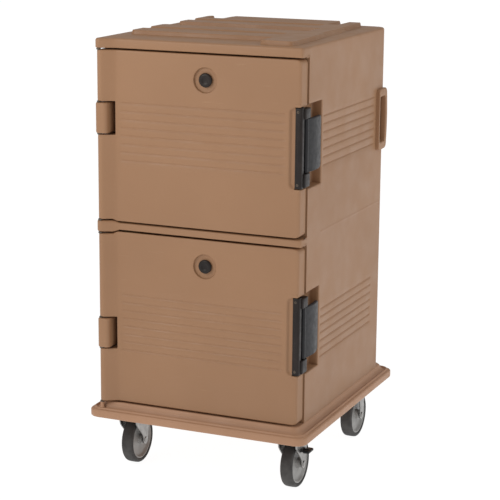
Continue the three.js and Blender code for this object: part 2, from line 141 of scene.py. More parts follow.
class Graph:
    """A new material and the few calls that wire its nodes."""

    def __init__(self, name, **surface):
        self.material = bpy.data.materials.new(name)
        self.material.use_nodes = True
        self.nodes = self.material.node_tree.nodes
        self.links = self.material.node_tree.links
        self.shader = self.nodes["Principled BSDF"]
        set_inputs(self.shader, {key.replace("_", " "): value for key, value in surface.items()})
        self.place = self.nodes.new("ShaderNodeTexCoord").outputs["Object"]

    def noise(self, scale, detail=3.0, stretch=None, roughness=0.5):
        """Noise of that many features a metre, drawn out by stretch where one is given."""
        node = self.nodes.new("ShaderNodeTexNoise")
        set_inputs(node, {"Scale": scale, "Detail": detail, "Roughness": roughness})
        source = self.place
        if stretch:
            mapping = self.nodes.new("ShaderNodeMapping")
            mapping.inputs["Scale"].default_value = stretch
            self.links.new(source, mapping.inputs["Vector"])
            source = mapping.outputs["Vector"]
        self.links.new(source, node.inputs["Vector"])
        return node.outputs["Fac"]

    def span(self, value, low, high, out_low, out_high):
        """value from low..high carried to out_low..out_high, clamped."""
        node = self.nodes.new("ShaderNodeMapRange")
        set_inputs(node, {"From Min": low, "From Max": high, "To Min": out_low, "To Max": out_high})
        self.links.new(value, node.inputs["Value"])
        return node.outputs["Result"]

    def mix(self, share, first, second):
        """A colour between first and second, each a colour or another mix."""
        node = self.nodes.new("ShaderNodeMix")
        node.data_type = "RGBA"
        self.links.new(share, node.inputs["Factor"])
        for socket, colour in ((node.inputs[6], first), (node.inputs[7], second)):
            if isinstance(colour, tuple):
                socket.default_value = colour
            else:
                self.links.new(colour, socket)
        return node.outputs[2]

    def bump(self, height, depth, strength=1.0, under=None):
        """A bump of that depth in metres on top of another bump."""
        node = self.nodes.new("ShaderNodeBump")
        set_inputs(node, {"Strength": strength, "Distance": depth})
        self.links.new(height, node.inputs["Height"])
        if under:
            self.links.new(under, node.inputs["Normal"])
        return node.outputs["Normal"]

    def finish(self, colour=None, roughness=None, normal=None):
        """Wires what the graph worked out into the shader, and returns the material."""
        for socket, source in (("Base Color", colour), ("Roughness", roughness), ("Normal", normal)):
            if source:
                self.links.new(source, self.shader.inputs[socket])
        return self.material


# %% [markdown]
# ## Moulded polyethylene
# The shell colour is a warm coffee beige. Broad noise shifts it between two close
# tints, a finer one adds the speckle of the resin powder, and a stretched, sharply
# clipped noise gives a few pale scuffs. The pebbled skin is bump only, a tenth of a
# millimetre deep, which is too fine to be worth geometry.

# %% Polyethylene
def polyethylene(name, warm, cool, pale, scuff, gloss):
    """Moulded polyethylene between a warm and a cool tint, scuffed towards pale."""
    g = Graph(name, Roughness=gloss, IOR=1.5, Specular_IOR_Level=0.42)
    broad = g.span(g.noise(2.6, 4.0), 0.35, 0.65, 0.0, 1.0)
    speck = g.span(g.noise(170.0, 2.0), 0.3, 0.7, 0.0, 0.35)
    streaks = g.span(g.noise(9.0, 6.0, (1.0, 1.0, 14.0), 0.62), 0.66, 0.80, 0.0, scuff)
    colour = g.mix(broad, warm, cool)
    colour = g.mix(speck, colour, tuple(0.93 * c for c in warm[:3]) + (1.0,))
    colour = g.mix(streaks, colour, pale)
    roughness = g.span(g.noise(14.0, 5.0), 0.3, 0.7, gloss - 0.06, gloss + 0.08)
    waves = g.bump(g.noise(7.0, 2.0), 0.0006, 0.5)
    skin = g.bump(g.noise(900.0, 2.0), 0.00008, 0.55, waves)
    return g.finish(colour, roughness, skin)


SHELL = polyethylene("moulded_shell", linear(160, 120, 88), linear(154, 115, 84),
                     linear(185, 150, 120), 0.35, 0.50)
LINER = polyethylene("moulded_liner", linear(163, 126, 98), linear(157, 121, 94),
                     linear(182, 149, 123), 0.20, 0.46)
# The bumper is the shell's resin painted lighter, for the light that falls on its top.
LIT_BUMPER = polyethylene("moulded_bumper_painted_light", linear(179, 136, 106), linear(171, 129, 99),
                      linear(206, 174, 148), 0.75, 0.52)
print("polyethylene in", [m.name for m in (SHELL, LINER, LIT_BUMPER)])

# %% [markdown]
# ## Nylon, rubber, steel and foam
# The latch levers are black glass-filled nylon, the latch plates and vents a very dark
# brown one. Both have a dull sheen and a slight grain. Zinc plate is a rough mirror with
# soft cloudy patches, painted darker than bright plate for the shade under the cart, and
# the hinge pins and screws are a duller, browner steel. The treads are grey rubber that
# holds dust, painted darker still for the shade under the cart, and the wheel cores are
# pale polypropylene. The foam inside the walls is a cream froth, which shows only when
# the piece is cut open.

# %% The other finishes
def speckled(name, dark, light, scale, gloss, grain, **surface):
    """A solid colour that drifts between two tints, with a fine grain."""
    g = Graph(name, Roughness=gloss, **surface)
    drift = g.span(g.noise(scale, 4.0), 0.35, 0.68, 0.0, 1.0)
    roughness = g.span(g.noise(scale * 3, 4.0), 0.3, 0.7, gloss - 0.07, gloss + 0.09)
    return g.finish(g.mix(drift, dark, light), roughness, g.bump(g.noise(700.0, 2.0), grain, 0.6))


SHEEN = {"Specular_IOR_Level": 0.3}
NYLON = speckled("black_nylon", linear(20, 19, 21), linear(30, 29, 32), 24.0, 0.42, 0.00006, **SHEEN)
VENT = speckled("vent_nylon", linear(26, 20, 17), linear(38, 30, 26), 30.0, 0.45, 0.00005, **SHEEN)
RUBBER = speckled("seal_rubber", linear(62, 51, 44), linear(78, 65, 56), 40.0, 0.78, 0.00008)
# The tread is painted darker than its rubber, for the shade under the cart.
SHADED_TREAD = speckled("tread_rubber_painted_shade", linear(52, 50, 49), linear(72, 70, 68), 30.0, 0.74, 0.00014)
CORE = speckled("wheel_core", linear(136, 134, 131), linear(156, 154, 151), 26.0, 0.44, 0.00005)
# Zinc is painted darker than bright plate, for the shade under the cart.
SHADED_ZINC = speckled("zinc_plate_painted_shade", linear(138, 136, 134), linear(168, 166, 163), 34.0, 0.34, 0.00003,
                Metallic=1.0)
FOAM = speckled("rigid_foam", linear(226, 212, 168), linear(238, 228, 192), 90.0, 0.95, 0.0006)
DULL = speckled("dull_steel", linear(92, 82, 73), linear(118, 107, 96), 34.0, 0.5, 0.00004, Metallic=1.0)
PLATE = speckled("brown_nylon", linear(24, 17, 14), linear(36, 27, 23), 24.0, 0.42, 0.00006, **SHEEN)
WHITE = speckled("white_floor", linear(95, 95, 95), linear(95, 95, 95), 4.0, 0.9, 0.0,
                 Emission_Color=(1, 1, 1, 1), Emission_Strength=FLOOR_GLOW)
floor_mesh.materials.append(WHITE)
print("finishes", len(bpy.data.materials))

# %% [markdown]
# ## From arrays to pieces
# All shapes below are arrays of points in millimetres, worked out by formula. A grid of
# rows and columns becomes quads, a flat end becomes one many-sided face, and this cell
# turns both into a mesh. Points that fall on each other are merged, so that a surface
# may fold a corner or close a pole simply by repeating a point.

# %% Grids, caps and pieces
MM = 0.001


def quads(rows, columns, wrap_rows=False, wrap_columns=False, skip=None):
    """Quads that join each point of a grid to the next row and column, but for the cells in skip."""
    i, j = np.meshgrid(np.arange(rows if wrap_rows else rows - 1),
                       np.arange(columns if wrap_columns else columns - 1), indexing="ij")
    down, over = (i + 1) % rows, (j + 1) % columns
    cells = np.stack([i * columns + j, i * columns + over,
                      down * columns + over, down * columns + j], -1)
    keep = np.ones(i.shape, bool) if skip is None else ~skip
    return cells[keep]


def capped(rings, caps="both", skip=None):
    """A shell of stacked rings, each a closed outline, with a flat face on each named end."""
    count, width = rings.shape[:2]
    faces = quads(count, width, wrap_columns=True, skip=skip).tolist()
    if caps in ("both", "first"):
        faces.append(list(range(width))[::-1])
    if caps in ("both", "last"):
        faces.append(list(range((count - 1) * width, count * width)))
    return rings.reshape(-1, 3), faces


def joined(*shells):
    """Several shells as one set of points and faces."""
    points, faces, start = [], [], 0
    for shell_points, shell_faces in shells:
        points.append(shell_points)
        faces += [[start + index for index in face] for face in shell_faces]
        start += len(shell_points)
    return np.concatenate(points), faces


MERGE = 0.00002
CREASE = 38.0


def piece(name, shell, finish, body, replaces=(), outward=True, crease=CREASE):
    """Makes the mesh, merges it, turns its faces outwards, and puts it on its CAD body."""
    points, faces = shell
    mesh = bpy.data.meshes.new(name)
    mesh.from_pydata((np.asarray(points) * MM).tolist(), [], faces)
    work = bmesh.new()
    work.from_mesh(mesh)
    bmesh.ops.remove_doubles(work, verts=work.verts, dist=MERGE)
    loose = [vertex for vertex in work.verts if not vertex.link_faces]
    bmesh.ops.delete(work, geom=loose, context="VERTS")
    if outward:
        bmesh.ops.recalc_face_normals(work, faces=work.faces)
    work.to_mesh(mesh)
    work.free()
    mesh.shade_smooth()
    mesh.set_sharp_from_angle(angle=np.radians(crease))
    mesh.materials.append(finish)
    made = bpy.data.objects.new(name, mesh)
    bpy.context.scene.collection.objects.link(made)
    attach(made, body)
    if replaces:
        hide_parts(*replaces)
    return made


def box_mm(node):
    """Lowest and highest corner of a CAD node, in millimetres."""
    low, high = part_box(node)
    return np.array(low) / MM, np.array(high) / MM


# %% [markdown]
# ## Outlines with round corners
# Nearly every edge of a moulded or pressed part is an arc between two straight lines.
# We could bevel a sharp polygon afterwards, but an exact arc is one formula: it starts
# and ends at r / tan(half the corner) from the corner. The second helper moves an
# outline inwards by a distance, and the third uses both to make a solid with rounded
# ends, the way a thick plate is sawn out and then broken along its edges.

# %% Rounded outlines and plates
def filleted(corners, radii, steps=6):
    """A closed polygon, in either direction, with each corner replaced by an arc of its radius."""
    corners = np.asarray(corners, float)
    outline = []
    neighbours = np.roll(corners, 1, 0), corners, np.roll(corners, -1, 0)
    for before, corner, after, radius in zip(*neighbours, radii):
        if not radius:
            outline.append(corner[None])
            continue
        back, on = (before - corner), (after - corner)
        back, on = back / np.linalg.norm(back), on / np.linalg.norm(on)
        half = np.arccos(np.clip(back @ on, -1, 1)) / 2
        bisector = (back + on) / np.linalg.norm(back + on)
        centre = corner + bisector * radius / np.sin(half)
        first = corner + back * radius / np.tan(half) - centre
        last = corner + on * radius / np.tan(half) - centre
        sweep, share = np.pi - 2 * half, np.linspace(0, 1, steps)[:, None]
        swung = np.sin((1 - share) * sweep) * first + np.sin(share * sweep) * last
        outline.append(centre + swung / np.sin(sweep))
    return np.concatenate(outline)


def rectangle(x0, x1, y0, y1, radius, steps=6):
    """An anticlockwise rectangle. radius is one number, or one for each corner from x0 y0 round."""
    radii = [radius] * 4 if np.isscalar(radius) else radius
    return filleted([(x0, y0), (x1, y0), (x1, y1), (x0, y1)], radii, steps)


SHARPEST_MITRE = 0.35


def inset(outline, distance):
    """An anticlockwise outline moved inwards, each point along the mean of its edges' normals."""
    onward = np.roll(outline, -1, 0) - outline
    onward /= np.maximum(np.linalg.norm(onward, axis=1, keepdims=True), 1e-9)
    normal = np.stack([-onward[:, 1], onward[:, 0]], 1)
    both = normal + np.roll(normal, 1, 0)
    both /= np.maximum(np.linalg.norm(both, axis=1, keepdims=True), 1e-9)
    mitre = np.clip((both * normal).sum(1, keepdims=True), SHARPEST_MITRE, 1)
    return outline + both * distance / mitre


def laid(flat, height, axis):
    """Points of a flat outline put at a height along X, Y or Z."""
    level_points = np.broadcast_to(np.asarray(height, float)[..., None], flat.shape[:-1] + (1,))
    order = {"x": [2, 0, 1], "y": [0, 2, 1], "z": [0, 1, 2]}[axis]
    return np.concatenate([flat, level_points], -1)[..., order]


def plate(outline, low, high, edge, axis="z", steps=4):
    """A solid of that outline from low to high, with a quarter round of radius edge at both ends."""
    angle = np.linspace(0, np.pi / 2, steps)
    drawn = np.concatenate([edge * (1 - np.sin(angle)), edge * (1 - np.cos(angle))])
    heights = np.concatenate([low + edge * (1 - np.cos(angle)),
                              high - edge * (1 - np.sin(angle))])
    rings = np.stack([laid(inset(outline, d), h, axis) for d, h in zip(drawn, heights)])
    return capped(rings)


def turned(profile, centre, axis="x", sides=64):
    """A profile of radius and distance turned round an axis. It closes on the axis or on itself."""
    profile = np.asarray(profile, float)
    angle = np.linspace(0, 2 * np.pi, sides, endpoint=False)[:, None]
    flat = np.stack([profile[:, 0] * np.cos(angle), profile[:, 0] * np.sin(angle)], -1)
    points = laid(flat, np.broadcast_to(profile[:, 1], flat.shape[:-1]), axis)
    points = points + np.asarray(centre, float)
    closed = bool(profile[0, 0] > 0 and profile[-1, 0] > 0)
    return points.reshape(-1, 3), quads(sides, len(profile), True, closed).tolist()


def loop(outer, inner, section, axis):
    """A ring between two outlines with matching points. section lists (share from inner, height)."""
    section = np.asarray(section, float)
    flat = inner[:, None] + (outer - inner)[:, None] * section[None, :, :1]
    points = laid(flat, np.broadcast_to(section[:, 1], flat.shape[:-1]), axis)
    return points.reshape(-1, 3), quads(len(outer), len(section), True, True).tolist()


print("outline helpers ready")

# %% [markdown]
# ## Lines where they are needed
# A big moulding is mostly flat, with small features. An even grid fine enough for a
# three millimetre flute would need a million quads for the whole cabinet, so rows and
# columns are bunched where something happens. A wall that stands square to the surface
# is a row that repeats: its points go from the outer face to the bottom of the recess
# while the height hardly changes, with a quarter round at the rim and at the foot.

# %% Rows for walls and flutes
FLUTE_PITCH = 24.8
FLUTE_DEPTH = 2.6
FLUTE_HALF = 5.5
FLUTE_LINES = np.array([-5.5, -3.8, -1.9, 0.0, 1.9, 3.8, 5.5])


def soft(value):
    """The smooth step 3t^2 - 2t^3 of a value clipped to 0..1."""
    t = np.clip(value, 0, 1)
    return t * t * (3 - 2 * t)


def flutes(height, centres):
    """Depth share of a row of grooves: cos^2 across each groove, 0 between them."""
    away = np.abs(height[:, None] - np.asarray(centres)[None]).min(1)
    return np.where(away < FLUTE_HALF, np.cos(np.pi / 2 * np.minimum(away / FLUTE_HALF, 1)) ** 2, 0)


def wall(height, radius, depth, opens=True, steps=4):
    """Heights and shares of depth up a wall at that height: a round rim, the wall and a round foot."""
    angle = np.linspace(0, np.pi / 2, steps)
    rim = radius * (1 - np.cos(angle)) / depth
    heights = np.concatenate([height - radius * (1 - np.sin(angle)),
                              height + radius * (1 - np.sin(angle[::-1]))])
    shares = np.concatenate([rim, 1 - rim[::-1]])
    if opens:
        return heights, shares
    return (2 * height - heights)[::-1], shares[::-1]


def band(feature, low, high, radius, depth):
    """The two walls between which a feature is fully open."""
    return [(feature, low, radius, depth, True), (feature, high, radius, depth, False)]


def stacked(walls, lines, low, high):
    """All rows from low to high, and each feature's share at each row.

    walls lists (feature, height, radius, depth, opens), and lines are plain heights.
    """
    plain = np.unique(np.round(lines, 3))
    for _, height, radius, _, _ in walls:
        plain = plain[np.abs(plain - height) > radius + 0.8]
    plain = plain[(plain >= low) & (plain <= high)]
    runs = [(None, plain, None)]
    for feature, height, radius, depth, opens in walls:
        runs.append((feature, *wall(height, radius, depth, opens)))
    heights = np.concatenate([run[1] for run in runs])
    order = np.argsort(heights, kind="stable")
    shares = {}
    for feature in sorted({entry[0] for entry in walls}):
        own = sorted((height, opens) for name, height, _, _, opens in walls if name == feature)
        values = []
        for run_feature, run_heights, run_shares in runs:
            if run_feature == feature:
                values.append(run_shares)
            else:
                passed = sum(np.where(run_heights > height, 1 if opens else -1, 0)
                             for height, opens in own)
                values.append(np.asarray(passed, float))
        shares[feature] = np.concatenate(values)[order]
    return heights[order], shares


def bunched(edges, offsets):
    """Lines at each edge plus each offset."""
    return (np.asarray(edges, float)[:, None] + np.asarray(offsets, float)[None]).ravel()


print("a wall of 34 mm has rows at", np.round(wall(0, 4, 34)[0], 1))

# %% [markdown]
# ## Sizes from the frame
# The cabinet's planes are read from the CAD boxes: the door plane from the latch plate,
# the seat that the doors close on from the liner, the side from the handle's reach. The
# mullion's end in front of the hinge rods is a block, a BULGE taller each way than the
# rest of it, and the doors' stiles are cut short by as much.

# %% Measure the frame
shell_low, shell_high = box_mm("cabinet_shell")
FRONT = box_mm("upper_latch_body")[0][1]
SEAT = box_mm("upper_liner")[0][1]
BACK = shell_high[1]
BOTTOM = shell_low[2]
HANDLE_OUT = 12.0
SIDE = shell_high[0] - HANDLE_OUT
RIB_HEIGHT = 13.0
TOP = shell_high[2] - RIB_HEIGHT
REAR_RADIUS = 36.0

STILE_RADIUS = 14.0
STILE_CENTRE = FRONT - 8.0
FLARE_FROM = -267.0
BULGE = 6.5

DOORS = {}
for side_name in ("upper", "lower"):
    door_low, door_high = box_mm(f"{side_name}_door_shell")
    vent_low, vent_high = box_mm(f"{side_name}_vent_cap")
    latch_low, latch_high = box_mm(f"{side_name}_latch_body")
    block_low, block_high = box_mm(f"{side_name}_hinge_block")
    liner_low, liner_high = box_mm(f"{side_name}_liner")
    DOORS[side_name] = {
        "low": door_low[2], "high": door_high[2], "left": door_low[0], "right": door_high[0],
        "back": door_high[1], "vent": (vent_low[2] + vent_high[2]) / 2,
        "vent_x": (vent_low[0] + vent_high[0]) / 2,
        "latch": (latch_low[2] + latch_high[2]) / 2,
        "lug": (block_low[2] + block_high[2]) / 2,
        "mouth_low": liner_low[2], "mouth_high": liner_high[2],
        "cut_low": BULGE * (side_name == "upper"), "cut_high": BULGE * (side_name == "lower"),
    }
FIRST_FLUTE = {"upper": DOORS["upper"]["low"] + 187.5, "lower": DOORS["lower"]["low"] + 167.5}
DOOR_FLUTES = {n: FIRST_FLUTE[n] + FLUTE_PITCH * np.arange(8) for n in DOORS}
WALL_FLUTES = {n: FIRST_FLUTE[n] + 4 + FLUTE_PITCH * np.arange(7) for n in DOORS}
print("front", FRONT, "seat", SEAT, "back", BACK, "side", SIDE, "top", TOP)
print({n: {k: round(float(v), 1) for k, v in d.items()} for n, d in DOORS.items()})

# %% [markdown]
# ## The leaning hinge stile
# Doors, mullion and ledge share one front profile seen from above: flat across, then
# leaning forward near the hinges to a round nose that covers the hinge rod. The nose
# is an arc, and the slope is the line from the arc that is tangent to it.

# %% The front profile
def stile(left):
    """Arc points of the nose, from facing left round to the slope, and the slope's tangent."""
    centre = np.array([left + STILE_RADIUS, STILE_CENTRE])
    reach = np.array([FLARE_FROM, FRONT]) - centre
    lean = np.arctan2(reach[1], reach[0]) + np.arcsin(STILE_RADIUS / np.linalg.norm(reach))
    angle = np.linspace(np.pi, 1.5 * np.pi + lean, 9)
    return centre + STILE_RADIUS * np.stack([np.cos(angle), np.sin(angle)], 1), np.tan(lean)


def front_at(x, lean):
    """Y of the front at x: the slope blends into the flat by (t + sqrt(t^2 + w^2)) / 2."""
    t, blend = FLARE_FROM - x, 5.0
    return FRONT - lean * (t + np.sqrt(t * t + blend * blend)) / 2


def on_stile(x):
    """1 on the leaning stile and 0 on the flat front, with a soft step between."""
    return soft((FLARE_FROM - 2 - x) / 8)


nose, nose_lean = stile(-SIDE)
print("nose crest at y", round(float(nose[:, 1].min()), 1), "slope", round(float(nose_lean), 3))

# %% [markdown]
# ## The cabinet
# The cabinet is one hollow moulding. We could carve it with booleans, but its rims
# would need bevels afterwards and its flutes a second pass. Instead it is one grid that
# runs round the plan and up the height. Each column knows four places: on the full
# front of a ledge, set back behind a door, in a latch pocket, and in a handle recess.
# Each row says how much of each it wants, so walls, rims and feet come from the rows.

# %% Columns of the cabinet
POCKET_X = 296.0
POCKET_REAR = FRONT + 158
POCKET_HALF = 124.0
GRIP = {"front": 264.0, "rear": 342.0, "low": 973.0, "high": 1170.0, "rim": 25.0, "deep": 30.0}
RECESS_Y = GRIP["front"] + 7
RECESS_X = SIDE - GRIP["deep"]


def arc(centre, radius, start, end, steps):
    """Points of an arc in degrees."""
    angle = np.radians(np.linspace(start, end, steps))
    return np.asarray(centre) + radius * np.stack([np.cos(angle), np.sin(angle)], 1)


def line(start, end, steps):
    """Points along a straight line, ends included."""
    return np.linspace(start, end, steps)


def upright_side(y):
    """Points on the side wall at each y."""
    return np.stack([np.full(len(y), SIDE), y], 1)


def recess_side():
    """The right side from the ledge to the back as (plain, pocket, handle) columns."""
    plain, pocket, handle = [], [], []

    def strip(base, in_pocket=None, in_handle=None):
        plain.append(base)
        pocket.append(base if in_pocket is None else in_pocket)
        handle.append(base if in_handle is None else in_handle)

    y = np.array([SEAT, -312, -296, -276, -256, -240, POCKET_REAR - 6])
    strip(upright_side(y), np.stack([np.full(len(y), POCKET_X), y], 1))
    rear_wall = np.concatenate([
        arc((POCKET_X + 6, POCKET_REAR - 6), 6, 180, 90, 4)[1:],
        line((POCKET_X + 12, POCKET_REAR), (SIDE - 10, POCKET_REAR), 2),
        arc((SIDE - 4, POCKET_REAR + 4), 4, -90, 0, 5)])
    spread = np.linspace(POCKET_REAR - 5.4, POCKET_REAR + 4, len(rear_wall))
    strip(upright_side(spread), rear_wall)
    strip(upright_side(np.array([-212, -207, -202, -196, -150, -100, -50, 0, 50, 100, 150, 200,
                                 232, 238, 243, 248, 253, 259.0])))
    front_wall = np.concatenate([
        arc((SIDE - 3, RECESS_Y - 3), 3, 0, 90, 4),
        line((SIDE - 8, RECESS_Y), (RECESS_X + 12, RECESS_Y), 2),
        arc((RECESS_X + 6, RECESS_Y + 6), 6, 270, 180, 4)])
    spread = np.linspace(RECESS_Y - 3, RECESS_Y + 6, len(front_wall))
    strip(upright_side(spread), None, front_wall)
    y = np.array([284, 296, 308.0])
    strip(upright_side(y), None, np.stack([np.full(len(y), RECESS_X), y], 1))
    rear_corner = arc((SIDE - REAR_RADIUS, BACK - REAR_RADIUS), REAR_RADIUS, 0, 90, 11)
    strip(rear_corner, None, np.stack([np.minimum(rear_corner[:, 0], RECESS_X), rear_corner[:, 1]], 1))
    return [np.concatenate(part) for part in (plain, pocket, handle)]


def cabinet_columns():
    """All columns anticlockwise from the left side's front, as four named plans."""
    side_plain, side_pocket, side_handle = recess_side()
    flat_x = np.concatenate([[-300, -290, -283, -274.3], np.linspace(-262, 262, 13),
                             [274.3, 282, POCKET_X, 304, 312, 318]])
    front = np.stack([flat_x, front_at(flat_x, nose_lean)], 1)
    corner = arc((SIDE - 8, FRONT + 8), 8, -90, 0, 5)
    return_right = upright_side(np.array([-360, -345.0]))
    mirror = np.array([-1, 1])
    back_x = np.concatenate([[286, 281, 276, 270], np.linspace(230, -230, 5), [-270, -276, -281, -286]])
    back = np.stack([back_x, np.full(len(back_x), BACK)], 1)
    left_plain, left_handle = side_plain[::-1] * mirror, side_handle[::-1] * mirror
    lead = np.stack([np.full(3, -SIDE), [-345, -360, -375.0]], 1)
    bar = np.concatenate([lead, nose, front, corner, return_right, side_plain, back, left_plain])
    ahead = len(lead) + len(nose) + len(front) + len(corner) + len(return_right)
    plain = bar.copy()
    plain[:ahead, 1] = np.maximum(plain[:ahead, 1], SEAT)
    pocket, handle = plain.copy(), plain.copy()
    right_side = slice(ahead, ahead + len(side_plain))
    pocket[right_side] = side_pocket
    pocket[:ahead, 0] = np.minimum(pocket[:ahead, 0], POCKET_X)
    handle[right_side] = side_handle
    handle[len(bar) - len(left_plain):] = left_handle
    opening = np.flatnonzero((np.abs(bar[:ahead, 0]) <= 274.4) & (bar[:ahead, 1] < SEAT))
    named = {"bar": bar, "plain": plain, "pocket": pocket, "handle": handle}
    return named, (opening.min(), opening.max())


plans, opening_columns = cabinet_columns()
print("cabinet columns", len(plans["bar"]), "opening between", opening_columns)

# %% [markdown]
# ## Relief on the walls
# Seven flutes band each half of the side and back walls, and a soft bead runs round
# the middle, level with the mullion. They only need a depth for each row, a mask for
# each column, and the way that the wall faces.

# %% Relief of the walls
def wall_relief(heights):
    """How far each point of the grid moves outwards, and the outward direction of each column."""
    plain = plans["plain"]
    x, y = plain.T
    on_right, on_left, on_back = (np.isclose(a, b) for a, b in ((x, SIDE), (x, -SIDE), (y, BACK)))
    start = np.where(on_right, POCKET_REAR + 9, SEAT + 28)
    along_side = soft((y - start) / 7) * soft((250 - y) / 7)
    mask = np.where(on_right | on_left, along_side, np.where(on_back, soft((283 - np.abs(x)) / 8), 0))
    outward = np.stack([on_right * 1.0 - on_left * 1.0, on_back * 1.0], 1)
    outward /= np.maximum(np.linalg.norm(outward, axis=1, keepdims=True), 1)
    grooves = flutes(heights, np.concatenate([WALL_FLUTES["upper"], WALL_FLUTES["lower"]]))
    bead = np.exp(-((heights - BEAD) / 3.2) ** 2)
    behind = (y > POCKET_REAR + 6) | on_back | (on_left & (y > SEAT + 4))
    depth = -FLUTE_DEPTH * grooves[:, None] * mask[None] + BEAD_HEIGHT * bead[:, None] * behind[None]
    return depth, outward


BEAD = 800.0
BEAD_HEIGHT = 0.9
MULLION = (DOORS["lower"]["high"] + 5.5, DOORS["upper"]["low"] - 5.5)
LEDGE = DOORS["upper"]["high"] + 5.2
print("mullion", MULLION, "ledge from", LEDGE)

# %% [markdown]
# Now the rows. A row's plan is the plain one, moved towards the others by the shares
# of that height. The top edge is a quarter round, drawn by moving the full plan
# inwards. Two rectangles of cells are left out of the seat wall for the compartments.
# The mullion's block is made by moving its points up and down, and a Solidify modifier
# gives the skin its real thickness.

# %% The cabinet's skin
TOP_ROUND = 7.0
SKIN = 4.5


def cabinet_skin():
    """Rows of the plan from the bottom to the round top edge, closed at both ends but for two mouths."""
    depth = {"bar": SEAT - FRONT, "pocket": SIDE - POCKET_X, "handle": GRIP["deep"]}
    walls = band("bar", *MULLION, 4, depth["bar"]) + [("bar", LEDGE, 4, depth["bar"], True)]
    walls += band("handle", GRIP["low"] + GRIP["rim"], GRIP["high"] - GRIP["rim"], 3, depth["handle"])
    for d in DOORS.values():
        walls += band("pocket", d["latch"] - POCKET_HALF, d["latch"] + POCKET_HALF, 4, depth["pocket"])
    mouths = [(d["mouth_low"] - 0.3, d["mouth_high"] + 0.3) for d in DOORS.values()]
    lines = np.concatenate([
        bunched(np.concatenate([WALL_FLUTES["upper"], WALL_FLUTES["lower"]]), FLUTE_LINES),
        np.ravel(mouths), bunched([BEAD], [-7, -4.5, -2.2, 0, 2.2, 4.5, 7]),
        np.linspace(BOTTOM, TOP - TOP_ROUND, 24), [TOP - TOP_ROUND]])
    heights, share = stacked(walls, lines, BOTTOM, TOP - TOP_ROUND)
    flat = plans["plain"][None] + sum(
        share[name][:, None, None] * (plans[name] - plans["plain"])[None] for name in share)
    depth_of, outward = wall_relief(heights)
    flat = flat + depth_of[..., None] * outward[None]
    rows = laid(flat, heights[:, None] + np.zeros(flat.shape[1]), "z")
    angle = np.linspace(0, np.pi / 2, 5)[1:]
    crown = [laid(inset(plans["bar"], TOP_ROUND * (1 - np.cos(a))),
                  TOP - TOP_ROUND * (1 - np.sin(a)), "z") for a in angle]
    rows = np.concatenate([rows, np.stack(crown)])
    middle, half = sum(MULLION) / 2, (MULLION[1] - MULLION[0]) / 2
    above = rows[..., 2] - middle
    on_block = on_stile(rows[..., 0]) * soft((SEAT - rows[..., 1]) / 6) * (np.abs(above) < half + 8)
    rows[..., 2] += BULGE * np.clip(above / half, -1, 1) * on_block
    count, width = rows.shape[:2]
    skip = np.zeros((count - 1, width), bool)
    for low, high in mouths:
        inside = np.flatnonzero((heights >= low - 0.01) & (heights <= high + 0.01))
        skip[inside.min():inside.max(), opening_columns[0]:opening_columns[1]] = True
    return capped(rows, skip=skip)


def thicken(made, thickness, offset=-1.0):
    """A Solidify modifier: the wall grows inwards at offset -1, outwards at 1."""
    modifier = made.modifiers.new("wall", "SOLIDIFY")
    modifier.thickness, modifier.offset = thickness * MM, offset


cabinet = piece("cabinet_skin", cabinet_skin(), SHELL, "cart", ["cabinet_shell"], outward=False)
thicken(cabinet, SKIN)
print("cabinet skin", len(cabinet.data.polygons), "faces")

# %% [markdown]
# ## The roof
# Raised ribs on the lid form an E: a spine along the right that narrows to the rear, two
# broad bars and a short tail, with a notch on each side of the tail. A second carrier or
# a tray can stand on them.
# A heightfield suits them: the height at a point depends only on its distance from the
# edge of each bar. That signed distance is exact for a rectangle with round corners,
# and a smooth step of it makes the sloped flank with its round foot and crest.

# %% Roof ribs
def inside_by(x, y, x0, x1, y0, y1, radius):
    """Signed distance inside a rounded rectangle: positive within, negative outside."""
    qx = np.abs(x - (x0 + x1) / 2) - ((x1 - x0) / 2 - radius)
    qy = np.abs(y - (y0 + y1) / 2) - ((y1 - y0) / 2 - radius)
    outside = np.hypot(np.maximum(qx, 0), np.maximum(qy, 0)) + np.minimum(np.maximum(qx, qy), 0)
    return radius - outside


